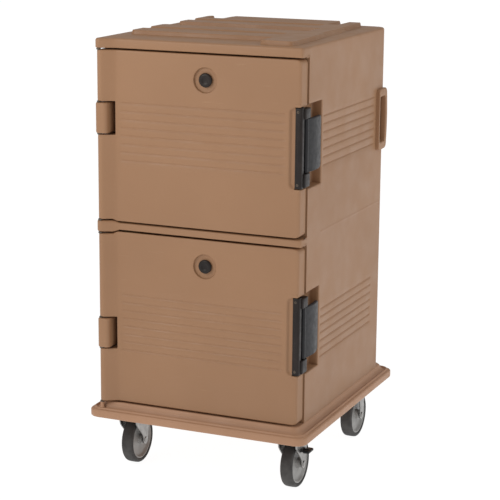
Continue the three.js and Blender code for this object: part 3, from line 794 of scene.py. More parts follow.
def roof_ribs():
    """Height over the lid: spine, bars and tail, less the notches and two shallow channels."""
    bars = [(-286, 240, FRONT + 131, FRONT + 356, 14), (-283, 240, FRONT + 457, FRONT + 700, 14),
            (-200, 175, FRONT + 660, FRONT + 722, 8)]
    notches = [(-266, -203, FRONT + 628, FRONT + 760, 8), (176, 211, FRONT + 600, FRONT + 760, 8)]
    channels = [FRONT + 240, FRONT + 556]
    near = [-13, -10, -7.5, -5.5, -4, -2.6, -1.3, 0, 1.3, 2.6, 4, 5.5]
    mirrored = [-v for v in near[::-1]]
    x_lines = np.concatenate([bunched([286, 256, 176], near), bunched([-286, -266, -203], mirrored),
                              bunched([180, 211], near[3:]), np.linspace(-296, 296, 17)])
    y_lines = np.concatenate([
        bunched([FRONT + 34, FRONT + 131, FRONT + 457, FRONT + 614, FRONT + 642], mirrored),
        bunched([FRONT + 356, FRONT + 700], near),
        bunched([FRONT + 722], near[2:]), bunched(channels, [-34, -30, -28, -26, -24, -22, -18, 0]),
        bunched(channels, [34, 30, 28, 26, 24, 22, 18]), np.linspace(FRONT + 24, FRONT + 728, 15)])
    x_lines, y_lines = (np.unique(np.round(v[(v >= low) & (v <= high)] / 0.7) * 0.7)
                        for v, low, high in ((x_lines, -296, 296), (y_lines, FRONT + 22, FRONT + 729)))
    x, y = np.meshgrid(x_lines, y_lines)
    flank, spine_x, narrowing = 2.2, 233, 1.65
    along = np.clip((y - FRONT - 34) / 666, 0, 1)
    widened_x = spine_x + (x - spine_x) * (1 + narrowing * along ** 2)
    spine = inside_by(widened_x, y, 180, 286, FRONT + 34, FRONT + 700, 14)
    inside = np.max([spine] + [inside_by(x, y, *bar) for bar in bars], 0)
    inside = np.minimum(inside, -np.max([inside_by(x, y, *notch) for notch in notches], 0))
    height = soft((inside + flank) / (2 * flank)) * (RIB_HEIGHT - 0.1)
    for middle in channels:
        within = soft((28 - np.abs(y - middle)) / 5) * soft((174 - x) / 6)
        height = np.maximum(height - 4 * within, 0) * (height > 1) + height * (height <= 1)
    rim = np.minimum.reduce([x - x.min(), x.max() - x, y - y.min(), y.max() - y])
    height = TOP + 0.1 + height - 0.5 * (1 - soft(rim / 2))
    points = np.stack([x, y, height], -1)
    return points.reshape(-1, 3), quads(*x.shape).tolist()


ribs = piece("roof_ribs", roof_ribs(), SHELL, "cart", outward=False)
thicken(ribs, 3.0)
print("roof ribs", len(ribs.data.polygons), "faces")

# %% [markdown]
# ## The handles
# Each side has a recess that runs round the rear corner, so fingers reach behind a
# bowed bar from two sides. The recess is in the cabinet's grid; the frame with its bar
# is a ring between two rounded rectangles, whose section is a rounded square carried
# all the way round. The rear bar bows outwards in the middle by a half sine, and a thin
# web behind it closes the back of the recess.

# %% Handle frames
def rounded_section(low, high, edge, steps=4):
    """Section of a ring, as share and height: flat underneath, with two quarter rounds outside."""
    angle = np.linspace(0, np.pi / 2, steps)
    share = np.concatenate([[0, 0.5, 1], 1 - edge[0] * (1 - np.cos(angle)),
                            edge[0] * (1 - np.sin(angle)), [0]])
    height = np.concatenate([[low] * 3, high - edge[1] * (1 - np.sin(angle)),
                             high - edge[1] * (1 - np.cos(angle)), [low]])
    return np.stack([share, height], 1)


CORNER_STEPS = 8
BAR_BOW = 2.0


def refine(outline, parts):
    """Each long edge of an outline cut into equal parts, so that matching outlines still match."""
    onward = np.roll(outline, -1, 0)
    leaves_corner = np.arange(len(outline)) % CORNER_STEPS == CORNER_STEPS - 1
    runs = [np.linspace(a, b, parts, endpoint=False) if long else a[None]
            for a, b, long in zip(outline, onward, leaves_corner)]
    return np.concatenate(runs)


def handle_frame(side):
    """The frame and its bowed bar on one side wall."""
    outer = rectangle(GRIP["front"], GRIP["rear"], GRIP["low"], GRIP["high"], 14, CORNER_STEPS)
    inner = rectangle(RECESS_Y, GRIP["rear"] - 16, GRIP["low"] + GRIP["rim"],
                      GRIP["high"] - GRIP["rim"], 7, CORNER_STEPS)
    section = rounded_section(SIDE - 5, SIDE + HANDLE_OUT, (0.22, 3.5))
    points, faces = loop(refine(outer, 6), refine(inner, 6), section, "x")
    along = np.clip((points[:, 2] - GRIP["low"] - 12) / (GRIP["high"] - GRIP["low"] - 24), 0, 1)
    on_bar = soft((points[:, 1] - RECESS_Y - 30) / 20)
    points[:, 0] += on_bar * (BAR_BOW * np.sin(np.pi * along) - BAR_BOW)
    points[:, 0] *= side
    return points, faces


def handle_web(side):
    """The bar's inward flange, which closes the back of the recess."""
    x = sorted((side * (RECESS_X + 2), side * (SIDE - 2)))
    outline = rectangle(*x, GRIP["rear"] - 6, GRIP["rear"] - 1, 1.2)
    return plate(outline, GRIP["low"] + 12, GRIP["high"] - 12, 1.0)


for side, side_name in ((1, "right"), (-1, "left")):
    piece(f"{side_name}_handle", joined(handle_frame(side), handle_web(side)), SHELL, "cart")
print("two handle frames")

# %% [markdown]
# ## The bumper base
# The base is a shallow moulded tray. Its rim is a bumper, wider than the cabinet all
# round, with a raised bead on its shoulder and a hollow foot where it meets the walls.
# A profile of offset and height is carried round a rounded rectangle: offset 0 is the
# outermost line and offset 1 the cabinet's own outline. The four square bosses under it
# hang a little lower, and a small cone on it holds the foot of the lower hinge rod.

# %% Base and caster bosses
BOSS_DROP = 4.0
OVERHANG = 32.0
BEAD_ON_RIM = [(7.5, 26.3), (8.6, 28.6), (10, 30.8), (11.6, 31.4), (13.2, 30.6), (14.6, 28.2),
               (16, 26.2), (19, 27.2), (22, 30.2), (25, 34.4), (27.4, 39.5), (29, 44.5), (32, 47.6)]
CORNERS = ("front_left", "front_right", "rear_left", "rear_right")


def base_rings():
    """Rings from the underside, round the bumper, up to the cabinet's foot."""
    low, high = box_mm("base_bumper")
    under = low[2] + BOSS_DROP
    outer = refine(rectangle(low[0], high[0], low[1], high[1], OVERHANG, CORNER_STEPS), 5)
    foot = refine(rectangle(-SIDE + 1, SIDE - 1, FRONT + 1, high[1] - OVERHANG - 1, 29, CORNER_STEPS), 5)
    angle = np.linspace(0, np.pi / 2, 5)
    profile = [(0.62, under + 4), (0.60, under), (5 / OVERHANG, under)]
    profile += [(5 / OVERHANG * (1 - np.sin(a)), under + 5 * (1 - np.cos(a))) for a in angle]
    profile += [(6 / OVERHANG * (1 - np.cos(a)), under + 20 + 6 * np.sin(a)) for a in angle]
    profile += [(offset / OVERHANG, under + rise) for offset, rise in BEAD_ON_RIM]
    rings = [laid(outer + (foot - outer) * share, height, "z") for share, height in profile]
    return np.stack(rings)


def caster_bosses():
    """The four square pads under the base that the casters bolt to."""
    low = box_mm("base_bumper")[0][2]
    shells = []
    for corner in CORNERS:
        plate_box = box_mm(f"{corner}_caster_plate")
        x, y = ((plate_box[0] + plate_box[1]) / 2)[:2]
        shells.append(plate(rectangle(x - 62, x + 62, y - 62, y + 62, 12), low, low + 12, 1.2))
    return shells


def hinge_foot():
    """A small cone on the bumper that the foot of the lower hinge rod stands in."""
    low, high = box_mm("lower_hinge_rod")
    centre, foot, crest = (low + high) / 2, low[2] + 4, BOTTOM + 0.8
    profile = [(0, foot), (8, foot), (6.4, BOTTOM - 14), (6, BOTTOM), (5.2, crest), (0, crest)]
    return turned(profile, (centre[0], centre[1], 0), "z", 32)


base_shell = joined(capped(base_rings()), hinge_foot(), *caster_bosses())
base = piece("base_bumper_skin", base_shell, LIT_BUMPER, "cart", ["base_bumper"])
print("base", len(base.data.polygons), "faces")

# %% [markdown]
# ## The doors
# A door is built like the cabinet: columns round its plan, rows up its height. Its
# notches are rows whose columns are held back, at the left for the hinge block and at
# the right for the latch. The dimple round the vent is left out of the grid and filled
# by rings. Each ring is the nearest-point circle of the hole's square border, so the
# ring lines flow from a square to a circle with no jagged rim.

# %% Helpers for the doors
def ring_patch(border, centre, profile):
    """Rings round a centre: the border's directions at each radius of the profile, with its heights."""
    outward = border - centre
    outward /= np.linalg.norm(outward, axis=1, keepdims=True)
    rings = [np.concatenate([border, np.zeros((len(border), 1))], 1)]
    for radius, height in profile:
        flat = centre + outward * radius
        rings.append(np.concatenate([flat, np.full((len(flat), 1), height)], 1))
    return np.stack(rings)


def dimple_profile(rim, floor_depth, stem):
    """Radius and depth: round lip, steep wall, round foot, flat floor and a hole for the stem."""
    angle = np.linspace(0, np.pi / 2, 5)
    lip = [(rim + 2.5 - 2.5 * np.sin(a), 2.5 * (1 - np.cos(a))) for a in angle]
    foot = [(rim - 3 * (1 - np.cos(a)) - 0.4, floor_depth - 3 + 3 * np.sin(a)) for a in angle]
    return lip + foot + [(rim - 14, floor_depth), (stem + 2, floor_depth), (stem, floor_depth + 1),
                         (stem, floor_depth + 16)]


NOTCH_X = -270.0
LATCH_X = 307.5
COVE_X = 291.0
COVE_DEPTH = 6.5
DIMPLE = 37.5
DIMPLE_BORDER = 46.0
DOOR_EDGE = 4.0
DOOR_CORNER = 14.0
NOSE_COLUMNS = 12


def cove(x, height, middle):
    """Depth of the finger scoop beside the latch: a rounded rectangle that falls away to the right."""
    within = inside_by(x, height, COVE_X - 3, 360, middle - 121, middle + 121, 18)
    return COVE_DEPTH * soft(within / 9.5)


print("door helpers ready")

# %% [markdown]
# The columns of a door go round its plan from the back left corner. Rows near the top
# and bottom draw the plan in, which rounds the rim, and pull the right side in further,
# which rounds the two free corners as seen from the front. The stile's end beside the
# mullion's block is moved back by a BULGE, fading out along the stile. Two small pads
# close the latch's notch.

# %% A door's shell
def door_plan(d):
    """Columns of a door from its left edge round to its right one, and the slope of its stile."""
    arc_points, lean = stile(d["left"])
    border = [d["vent_x"] - DIMPLE_BORDER, d["vent_x"] + DIMPLE_BORDER]
    flat_x = np.unique(np.round(np.concatenate([
        [-297, -288, -279, NOTCH_X, -266, -261, -256, -251, -246, -200, -150, -100, -60],
        np.linspace(*border, 13), [110, 150, 190, 230, 262, 267, 272, 277, 282],
        np.arange(286, 308, 2.2), [LATCH_X, 313]]), 3))
    front = np.stack([flat_x, front_at(flat_x, lean)], 1)
    corner = arc((d["right"] - 8, FRONT + 8), 8, -90, 0, 6)
    left_edge = np.stack([np.full(3, d["left"]), [d["back"] - 1, -352, -374]], 1)
    right_edge = np.stack([np.full(2, d["right"]), [-350, d["back"] - 1]], 1)
    return np.concatenate([left_edge, arc_points, front, corner, right_edge]), lean


def door_shell(d, own_flutes):
    """The whole outer moulding of one door, closed at the back."""
    plan, lean = door_plan(d)
    walls = band("notch", d["lug"] - 51, d["lug"] + 51, 3, 55)
    walls += band("latch", d["latch"] - 121, d["latch"] + 121, 2, 18.5)
    border = [d["vent"] - DIMPLE_BORDER, d["vent"] + DIMPLE_BORDER]
    edge, corner_radius = DOOR_EDGE, DOOR_CORNER
    round_off = corner_radius * (1 - np.cos(np.linspace(0, np.pi / 2, 7)))
    lines = np.concatenate([
        bunched(own_flutes, FLUTE_LINES), np.linspace(*border, 13), d["low"] + edge + round_off,
        d["high"] - edge - round_off, bunched([d["latch"] - 121], [4, 7, 10, 13, 17, 21]),
        bunched([d["latch"] + 121], [-21, -17, -13, -10, -7, -4]),
        np.linspace(d["low"] + edge, d["high"] - edge, 12)])
    heights, share = stacked(walls, lines, d["low"] + edge, d["high"] - edge)
    x, y = (np.broadcast_to(v, (len(heights), len(plan))) for v in plan.T)
    on_front = (np.arange(len(plan)) >= NOSE_COLUMNS) & (plan[:, 1] < FRONT + 1)
    groove = flutes(heights, own_flutes)[:, None] * (soft((x + 259) / 8) * soft((281 - x) / 8))
    scoop = cove(x, heights[:, None], d["latch"])
    y = y + on_front * (FLUTE_DEPTH * groove + scoop)
    in_notch, in_latch = share["notch"][:, None], share["latch"][:, None]
    notch_y = np.maximum(y, front_at(NOTCH_X, lean))
    left_of = x < NOTCH_X
    x2 = np.where(left_of, x + in_notch * (NOTCH_X - x), x)
    y2 = np.where(left_of, y + in_notch * (notch_y - y), y)
    right_of = x > LATCH_X
    held = np.maximum(y2, FRONT + cove(LATCH_X, heights[:, None], d["latch"]))
    x2 = np.where(right_of, x2 + in_latch * (LATCH_X - x2), x2)
    y2 = np.where(right_of, y2 + in_latch * (held - y2), y2)
    near_end = np.minimum(heights - d["low"], d["high"] - heights)
    short_of = np.clip(corner_radius - near_end, 0, corner_radius)
    pull = corner_radius - np.sqrt(corner_radius ** 2 - short_of ** 2)
    x2 = x2 - pull[:, None] * soft((x - 240) / 70)
    rows = laid(np.stack([x2, y2], -1), np.broadcast_to(heights[:, None], x2.shape), "z")
    ends = []
    for first, sign, limit in ((rows[0], -1, d["low"]), (rows[-1], 1, d["high"])):
        rim = []
        for a in np.linspace(0, np.pi / 2, 5)[1:]:
            tucked = inset(first[:, :2], edge * (1 - np.cos(a)))
            short_of = corner_radius - edge * (1 - np.sin(a))
            shift = corner_radius - np.sqrt(corner_radius ** 2 - short_of ** 2)
            tucked[:, 0] -= (shift - pull[0]) * soft((plan[:, 0] - 240) / 70)
            rim.append(laid(tucked, limit - sign * edge * (1 - np.sin(a)), "z"))
        ends.append(np.stack(rim))
    rows = np.concatenate([ends[0][::-1], rows, ends[1]])
    near_low = np.clip(1 - (rows[..., 2] - d["low"]) / 30, 0, 1)
    near_high = np.clip(1 - (d["high"] - rows[..., 2]) / 30, 0, 1)
    rows[..., 2] += (d["cut_low"] * near_low - d["cut_high"] * near_high) * on_stile(rows[..., 0])
    return rows, plan, heights, len(ends[0]), border


def door_solid(d, own_flutes):
    """The door's grid with its dimple: the cells under the dimple's border are replaced by rings."""
    rows, plan, heights, before, border = door_shell(d, own_flutes)
    count, width = rows.shape[:2]
    columns = np.arange(width)
    near_vent = np.abs(plan[:, 0] - d["vent_x"]) <= DIMPLE_BORDER + 0.01
    inside_x = columns[(columns >= NOSE_COLUMNS) & near_vent & (plan[:, 1] < FRONT + 1)]
    inside_z = before + np.flatnonzero((heights >= border[0] - 0.01) & (heights <= border[1] + 0.01))
    skip = np.zeros((count - 1, width), bool)
    skip[inside_z.min():inside_z.max(), inside_x.min():inside_x.max()] = True
    x_lines, z_lines = plan[inside_x, 0], heights[inside_z - before]
    low_side = [(x, z_lines[0]) for x in x_lines]
    right_side = [(x_lines[-1], z) for z in z_lines[1:]]
    top_side = [(x, z_lines[-1]) for x in x_lines[::-1][1:]]
    left_side = [(x_lines[0], z) for z in z_lines[::-1][1:-1]]
    square = np.array(low_side + right_side + top_side + left_side)
    rings = ring_patch(square, np.array([d["vent_x"], d["vent"]]), dimple_profile(DIMPLE, 8.0, 8.0))
    placed = np.stack([rings[..., 0], FRONT + rings[..., 2], rings[..., 1]], -1)
    return joined(capped(rows, skip=skip), capped(placed, "last"))


def latch_pads(d):
    """Two small moulded blocks on the door, above and below the latch."""
    outline = rectangle(LATCH_X - 3, d["right"] - 2, FRONT - 0.8, FRONT + 16, 3)
    return [plate(outline, *sorted((d["latch"] + side * 119.5, d["latch"] + side * 130)), 2.2)
            for side in (-1, 1)]


for name, d in DOORS.items():
    shell = joined(door_solid(d, DOOR_FLUTES[name]), *latch_pads(d))
    made = piece(f"{name}_door_skin", shell, SHELL, f"{name}_door", [f"{name}_door_shell"])
    print(made.name, len(made.data.polygons), "faces")

# %% [markdown]
# ## Inside the doors
# The door's inner face is a flat panel with a raised plug that reaches into the
# compartment and keeps the heat in. It is a plate with a second, smaller plate on it;
# the plug's crest is rounded and its middle a little hollow, as thin mouldings are to
# keep them from bulging. The gasket is a soft ring with a round bulb of a section.

# %% Inner panels and gaskets
def nested(x0, x1, z0, z1, radius, steps):
    """Rounded rectangles in XZ, one inside the other, as (inset, y) pairs, closed at both ends."""
    return capped(np.stack([
        laid(rectangle(x0 + d, x1 - d, z0 + d, z1 - d, max(radius - d, 2)), y, "y") for d, y in steps]))


for name, d in DOORS.items():
    inner_low, inner_high = box_mm(f"{name}_door_inner")
    panel_back = d["back"]
    panel = nested(inner_low[0], inner_high[0], inner_low[2], inner_high[2], 3,
                   [(1, inner_low[1]), (0, inner_low[1] + 0.8), (0, panel_back - 0.8), (0.8, panel_back)])
    crest = inner_high[1]
    plug_low, plug_high = d["mouth_low"] + 12, d["mouth_high"] - 12
    plug = nested(-258, 262, plug_low, plug_high, 16,
                  [(0.5, panel_back - 1), (0, panel_back + 0.4), (1.2, panel_back + 4),
                   (2, crest - 3.5), (2.7, crest - 1.2), (4.5, crest), (34, crest), (37, crest - 0.6),
                   (40, crest - 2.4), (46, crest - 3)])
    piece(f"{name}_door_panel", joined(panel, plug), LINER, f"{name}_door",
          [f"{name}_door_inner"])
    ring_low, ring_high = box_mm(f"{name}_door_gasket")
    outer = rectangle(ring_low[0], ring_high[0], ring_low[2], ring_high[2], 18, CORNER_STEPS)
    inner = rectangle(ring_low[0] + 12, ring_high[0] - 12, ring_low[2] + 12, ring_high[2] - 12, 8,
                      CORNER_STEPS)
    bulb_from, bulb_height = ring_low[1] + 0.4, ring_high[1] - ring_low[1] - 0.4
    bulb = [(0.5 - 0.5 * np.cos(a), bulb_from + bulb_height * max(0.0, np.sin(a)))
            for a in np.linspace(0, np.pi, 9)]
    foot = [(0.8, ring_low[1]), (0.2, ring_low[1])]
    piece(f"{name}_gasket", loop(refine(outer, 4), refine(inner, 4), bulb + foot, "y"), RUBBER,
          f"{name}_door", [f"{name}_door_gasket"])
print("door panels and gaskets")

# %% [markdown]
# ## The compartments
# Each liner is a tub with a ladder of pan rails moulded into its side walls. The tub's
# outline is a rounded rectangle carried from the mouth to the back. The rails are
# relief again, but as a sum of flat-topped steps in height, and faded out at their ends.

# %% Liners
RAIL_PITCH = 38.0
RAIL_REACH = 9.0


def liner_tub(d, rails):
    """Inner surface of a tub: a lip on the seat wall, a round mouth, straight walls and a round back."""
    half, wall_thickness = 270.0, 4.0
    low, high = d["mouth_low"] + wall_thickness, d["mouth_high"] - wall_thickness
    rail_heights = d["mouth_low"] + wall_thickness + RAIL_PITCH * np.arange(1, rails + 1)
    side_lines = np.unique(np.concatenate([bunched(rail_heights, [-7, -5.4, -4, 0, 4, 5.4, 7]),
                                           [low + 14, high - 14]]))
    side_lines = side_lines[(side_lines > low + 13) & (side_lines < high - 13)]
    corner = {k: arc(c, 12, a, a + 90, 5) for k, c, a in (
        ("low_left", (-half + 12, low + 12), 180), ("low_right", (half - 12, low + 12), 270),
        ("high_right", (half - 12, high - 12), 0), ("high_left", (-half + 12, high - 12), 90))}
    right_side = np.stack([np.full(len(side_lines), half), side_lines], 1)
    left_side = np.stack([np.full(len(side_lines), -half), side_lines[::-1]], 1)
    outline = np.concatenate([corner["low_left"], corner["low_right"], right_side, corner["high_right"],
                              corner["high_left"], left_side])
    steps = [(-7, SEAT - 0.25), (-3.4, SEAT - 0.25), (-2, SEAT + 0.3), (-0.6, SEAT + 1.6), (0, SEAT + 4)]
    steps += [(0, y) for y in (-302, -298, -294, -288, -280, -150, 0, 150, 246, 254, 258, 262, 280)]
    steps += [(10 * (1 - np.cos(a)), 286 + 10 * np.sin(a)) for a in np.linspace(0, np.pi / 2, 5)]
    away = np.abs(outline[:, 1:] - rail_heights[None]).min(1)
    rail = RAIL_REACH * soft((7 - away) / 2.6) * (np.abs(outline[:, 0]) >= half - 0.01)
    rings = []
    for drawn, y in steps:
        ring = inset(outline, drawn)
        ring[:, 0] -= np.sign(outline[:, 0]) * rail * soft((y + 302) / 12) * soft((262 - y) / 12)
        rings.append(laid(ring, y, "y"))
    return capped(np.stack(rings), "last")


def rail_count(d):
    """As many rails as fit between the floor and the roof of a tub."""
    return int((d["mouth_high"] - d["mouth_low"] - 20) // RAIL_PITCH)


for name, d in DOORS.items():
    tub = piece(f"{name}_tub", liner_tub(d, rail_count(d)), LINER, "cart",
                [f"{name}_liner"], outward=False)
    thicken(tub, 3.2)
    print(tub.name, rail_count(d), "rails")

# %% [markdown]
# ## Hinges
# A moulded block on the cabinet carries the middle of each hinge rod, in a notch of the
# door's stile. It is a plate with generous corners, drawn upwards. The rods are turned,
# and so are the washers that fill the gaps between block, door, ledge and mullion.

# %% Hinge blocks and rods
def rod(x, y, low, high, radius, dome=1.0):
    """A round bar along Z with softened ends."""
    return turned([(0, low), (radius - dome, low), (radius, low + dome), (radius, high - dome),
                   (radius - dome, high), (0, high)], (x, y, 0), "z", 28)


def collars(x, y, d):
    """Nylon washers on a rod in the gaps between door, block, ledge and mullion."""
    low, high = d["low"] + d["cut_low"], d["high"] - d["cut_high"]
    gaps = [(low - 4.9, low - 0.4), (high + 0.4, high + 4.7),
            (d["lug"] - 50.6, d["lug"] - 46.3), (d["lug"] + 46.3, d["lug"] + 50.6)]
    return [rod(x, y, *gap, 6.8, 0.6) for gap in gaps]


for name, d in DOORS.items():
    low, high = box_mm(f"{name}_hinge_block")
    outline = filleted([(low[0], low[1]), (high[0], low[1]), (high[0], FRONT + 20),
                        (high[0] - 2, high[1]), (low[0] + 6, high[1]), (low[0] + 6, FRONT + 20),
                        (low[0], FRONT + 12)],
                       [13, 13, 4, 1.5, 1.5, 3, 6], 7)
    block = plate(outline, low[2], high[2], 4.0, steps=5)
    piece(f"{name}_hinge_lug", block, SHELL, "cart", [f"{name}_hinge_block"])
    rod_low, rod_high = box_mm(f"{name}_hinge_rod")
    centre = (rod_low + rod_high) / 2
    pin = rod(centre[0], centre[1], rod_low[2], rod_high[2], rod_high[0] - centre[0])
    piece(f"{name}_hinge_pin", joined(pin, *collars(centre[0], centre[1], d)), DULL, "cart",
          [f"{name}_hinge_rod"])
print("hinges")

# %% [markdown]
# ## Latches
# The latch is a dark nylon plate on the door's edge with two knuckles. A steel pin
# runs through them, and a black paddle lever turns on it and lies in the side pocket when
# the door is shut. The plate and knuckles are plates with round edges. The lever is a
# curved section whose reach is shortened towards both ends, so its corners are round.

# %% Latch bodies, levers, pins and screws
def latch_body(low, high, lever_low, lever_high):
    """Front plate, web and two knuckles."""
    x0, x1, y0 = low[0], low[0] + 22, low[1]
    front = plate(rectangle(x0, x1, y0, y0 + 19, [4, 5, 2, 1]), low[2], high[2], 3)
    web = plate(rectangle(x0, x0 + 8, y0 + 15, y0 + 46, 1.5), low[2] + 1, high[2] - 1, 1.5)
    knuckle = filleted([(x0 + 4, y0 + 14), (high[0], y0 + 14), (high[0], high[1]),
                        (x0 + 8, high[1])], [2, 6, 13, 6])
    lower = plate(knuckle, low[2] + 3, lever_low - 1, 2.5)
    upper = plate(knuckle, lever_high + 1, high[2] - 3, 2.5)
    ridge = plate(rectangle(x0 + 7, x1 - 4, y0 - 1.2, y0 + 4, 2.5), lever_low + 6, lever_high - 6, 2.2)
    return joined(front, web, lower, upper, ridge)


def latch_lever(low, high, pin):
    """Rows of a curved paddle section from the pin to its tip, with round corners and a round hub."""
    t = np.linspace(0, 1, 15)
    middle = np.stack([pin[0] + 1.5 + 10 * np.sin(np.pi * t * 0.8) - 3 * t,
                       pin[1] + t * (high[1] - pin[1] - 3)], 1)
    half = 4.6 - 1.4 * t
    tip = np.linspace(-np.pi / 2, np.pi / 2, 7)[1:-1]
    cap_points = middle[-1] + half[-1] * np.stack([np.sin(tip), np.cos(tip)], 1)[::-1]
    outside = middle + np.stack([half, 0 * half], 1)
    inside = middle - np.stack([half, 0 * half], 1)
    section = np.concatenate([outside, cap_points, inside[::-1]])
    angle = np.linspace(0, np.pi / 2, 6)
    radius, edge = 13.0, 2.4
    drawn = np.concatenate([radius * (1 - np.sin(angle)), radius * (1 - np.cos(angle))])
    heights = np.concatenate([low[2] + radius * (1 - np.cos(angle)),
                              high[2] - radius * (1 - np.sin(angle))])
    reach = section[:, 1].max() - pin[1]
    rows = []
    for cut, height in zip(drawn, heights):
        row = section.copy()
        row[:, 1] = pin[1] + (row[:, 1] - pin[1]) * (reach - cut) / reach
        thin = soft(min(height - low[2], high[2] - height) / edge)
        row[:, 0] = pin[0] + 2 + (row[:, 0] - pin[0] - 2) * (0.62 + 0.38 * thin)
        rows.append(laid(row, height, "z"))
    hub = [(3.8, low[2]), (7, low[2]), (8, low[2] + 1), (8, high[2] - 1), (7, high[2]), (3.8, high[2])]
    return joined(capped(np.stack(rows)), turned(hub, (pin[0], pin[1], 0), "z", 32))


def screw_head(low, high):
    """A pan-head screw along Y, with its shank."""
    centre = (low + high) / 2
    radius = (high[0] - low[0]) / 2
    front = low[1]
    profile = [(0, front + 1.4), (1.2, front + 1.4), (1.5, front + 0.1), (radius - 1.6, front + 0.2),
               (radius - 0.4, front + 1.0), (radius, front + 2.0), (radius, front + 3.0),
               (2.5, front + 3.1), (2.5, high[1]), (0, high[1])]
    return turned(profile, (centre[0], 0, centre[2]), "y", 24)


for name, d in DOORS.items():
    body_low, body_high = box_mm(f"{name}_latch_body")
    lever_low, lever_high = box_mm(f"{name}_latch_lever")
    pin_low, pin_high = box_mm(f"{name}_latch_pin")
    pin = (pin_low + pin_high) / 2
    piece(f"{name}_latch_plate", latch_body(body_low, body_high, lever_low[2], lever_high[2]), PLATE,
          f"{name}_door", [f"{name}_latch_body"])
    piece(f"{name}_latch_paddle", latch_lever(lever_low, lever_high, pin), NYLON,
          f"{name}_latch", [f"{name}_latch_lever"])
    piece(f"{name}_latch_axle", rod(pin[0], pin[1], pin_low[2], pin_high[2], 3.5), SHADED_ZINC,
          f"{name}_door", [f"{name}_latch_pin"])
    for number in (1, 2):
        node = f"{name}_latch_screw_{number}"
        piece(f"{name}_screw_{number}", screw_head(*box_mm(node)), DULL, f"{name}_door", [node])
    keeper_low, keeper_high = box_mm(f"{name}_latch_keeper")
    x0, y0, z0 = keeper_low
    x1, y1, z1 = keeper_high
    foot = plate(rectangle(y0, y1, z0, z1, 4), x0, x0 + 3.2, 0.6, "x")
    tongue = plate(rectangle(x0 + 1.7, x1, y0 + 2, y0 + 6, 1.2), z0 + 8, z1 - 8, 1.0)
    piece(f"{name}_keeper", joined(foot, tongue), SHADED_ZINC, "cart", [f"{name}_latch_keeper"])
print("latches")

# %% [markdown]
# ## Pressure vents
# A knob in the dimple of each door pulls out to let steam go. The knob, its stem and
# the flange that stops it inside the door are one turned profile, read from the middle
# of the face outwards and then back along the stem.

# %% Vents
KNOB = [(0, 2.2), (5, 2.3), (8.5, 1.7), (10.5, 0.5), (12, 0.1), (14, 0), (17.5, 0.6), (19.8, 1.9),
        (21, 3.8), (21, 6.2), (20, 7.8), (18.5, 8), (7, 8)]
STEM = [(7, 4), (11, 4), (12, 3), (12, 1), (11, 0), (0, 0)]
for name, d in DOORS.items():
    low, high = box_mm(f"{name}_vent_cap")
    front, back = low[1], high[1]
    centre = (d["vent_x"], 0, d["vent"])
    profile = [(radius, front + depth) for radius, depth in KNOB]
    profile += [(radius, back - depth) for radius, depth in STEM]
    piece(f"{name}_vent_knob", turned(profile, centre, "y", 48), VENT, f"{name}_vent",
          [f"{name}_vent_cap"])
    seal_low, seal_high = box_mm(f"{name}_vent_seal")
    y0, y1 = seal_low[1], seal_high[1]
    washer = [(10.4, y0), (18.6, y0), (19, y0 + 0.4), (19, y1 - 0.4), (18.6, y1), (10.4, y1)]
    piece(f"{name}_vent_ring", turned(washer, centre, "y", 40), RUBBER, f"{name}_door",
          [f"{name}_vent_seal"])
print("vents")

# %% [markdown]
# ## Casters
# A caster's fork is a strip of steel bent over into a U. Its path is seen from the
# front, and its width at each height is read from the side: broad under the raceway,
# narrow and round at the axle. A Solidify modifier gives the sheet its gauge. Wheel,
# tread, raceway and axle are turned, and the plate is bolted up with four nuts.

# %% Wheels, forks and plates
def tread_profile(radius, half):
    """Rubber ring: a nearly flat tread that rolls over well-rounded shoulders into the core."""
    inner = radius - 13.2
    angle = np.linspace(0, np.pi / 2, 6)
    shoulder = [(radius - 8 * (1 - np.sin(a)) - 0.4, -half + 8 * (1 - np.cos(a))) for a in angle]
    side = [(inner, -half + 3), (inner + 1.5, -half + 1.4), (inner + 3.4, -half + 0.2)]
    left = side + shoulder + [(radius, -half * 0.3)]
    return left + [(r, -x) for r, x in left[::-1]]


def core_profile(radius, half):
    """Wheel core: a long hub, a thin web set back, and a rim under the tread, closed on the bore."""
    rim = radius - 13.5
    right = [(6.5, half + 1), (13.5, half + 1), (15, half - 0.4), (15.8, half - 7), (17.5, half - 9.6),
             (rim - 12, half - 10.4), (rim - 8.6, half - 9), (rim - 6, half - 5), (rim - 4, half - 3),
             (rim, half - 3), (rim, 0)]
    return [(r, -x) for r, x in right] + right[::-1][1:]


FORK_EYE = 15.0


def fork_sheet(low, high, axle):
    """The bent strip: a path in XZ, and its front and rear edge in Y at each height."""
    half, bend = (high[0] - low[0]) / 2, 9.0
    middle = (low[0] + high[0]) / 2
    leg_heights = np.concatenate([axle[2] - FORK_EYE * np.cos(np.linspace(0, np.pi / 2, 7)),
                                  np.linspace(axle[2] + 8, high[2] - bend, 9)])
    right_leg = np.stack([np.full(len(leg_heights), half), leg_heights], 1)
    over = arc((half - bend, high[2] - bend), bend, 0, 90, 6)[1:]
    right_half = np.concatenate([right_leg, over, [[half * 0.3, high[2]]]])
    path = np.concatenate([right_half, (right_half * np.array([-1, 1]))[::-1]])
    z = path[:, 1]
    t = soft((z - axle[2] - 4) / (high[2] - axle[2] - 18))
    below = np.sqrt(np.clip(FORK_EYE ** 2 - np.clip(axle[2] - z, 0, FORK_EYE) ** 2, 0, None))
    front = np.where(z < axle[2], axle[1] - below, (1 - t) * (axle[1] - FORK_EYE) + t * low[1])
    rear = np.where(z < axle[2], axle[1] + below, (1 - t) * (axle[1] + FORK_EYE) + t * high[1])
    share = np.linspace(0, 1, 9)
    y = front[:, None] + (rear - front)[:, None] * share[None]
    x = np.broadcast_to(middle + path[:, :1], y.shape)
    points = np.stack([x, y, np.broadcast_to(z[:, None], y.shape)], -1)
    return points.reshape(-1, 3), quads(*y.shape).tolist()


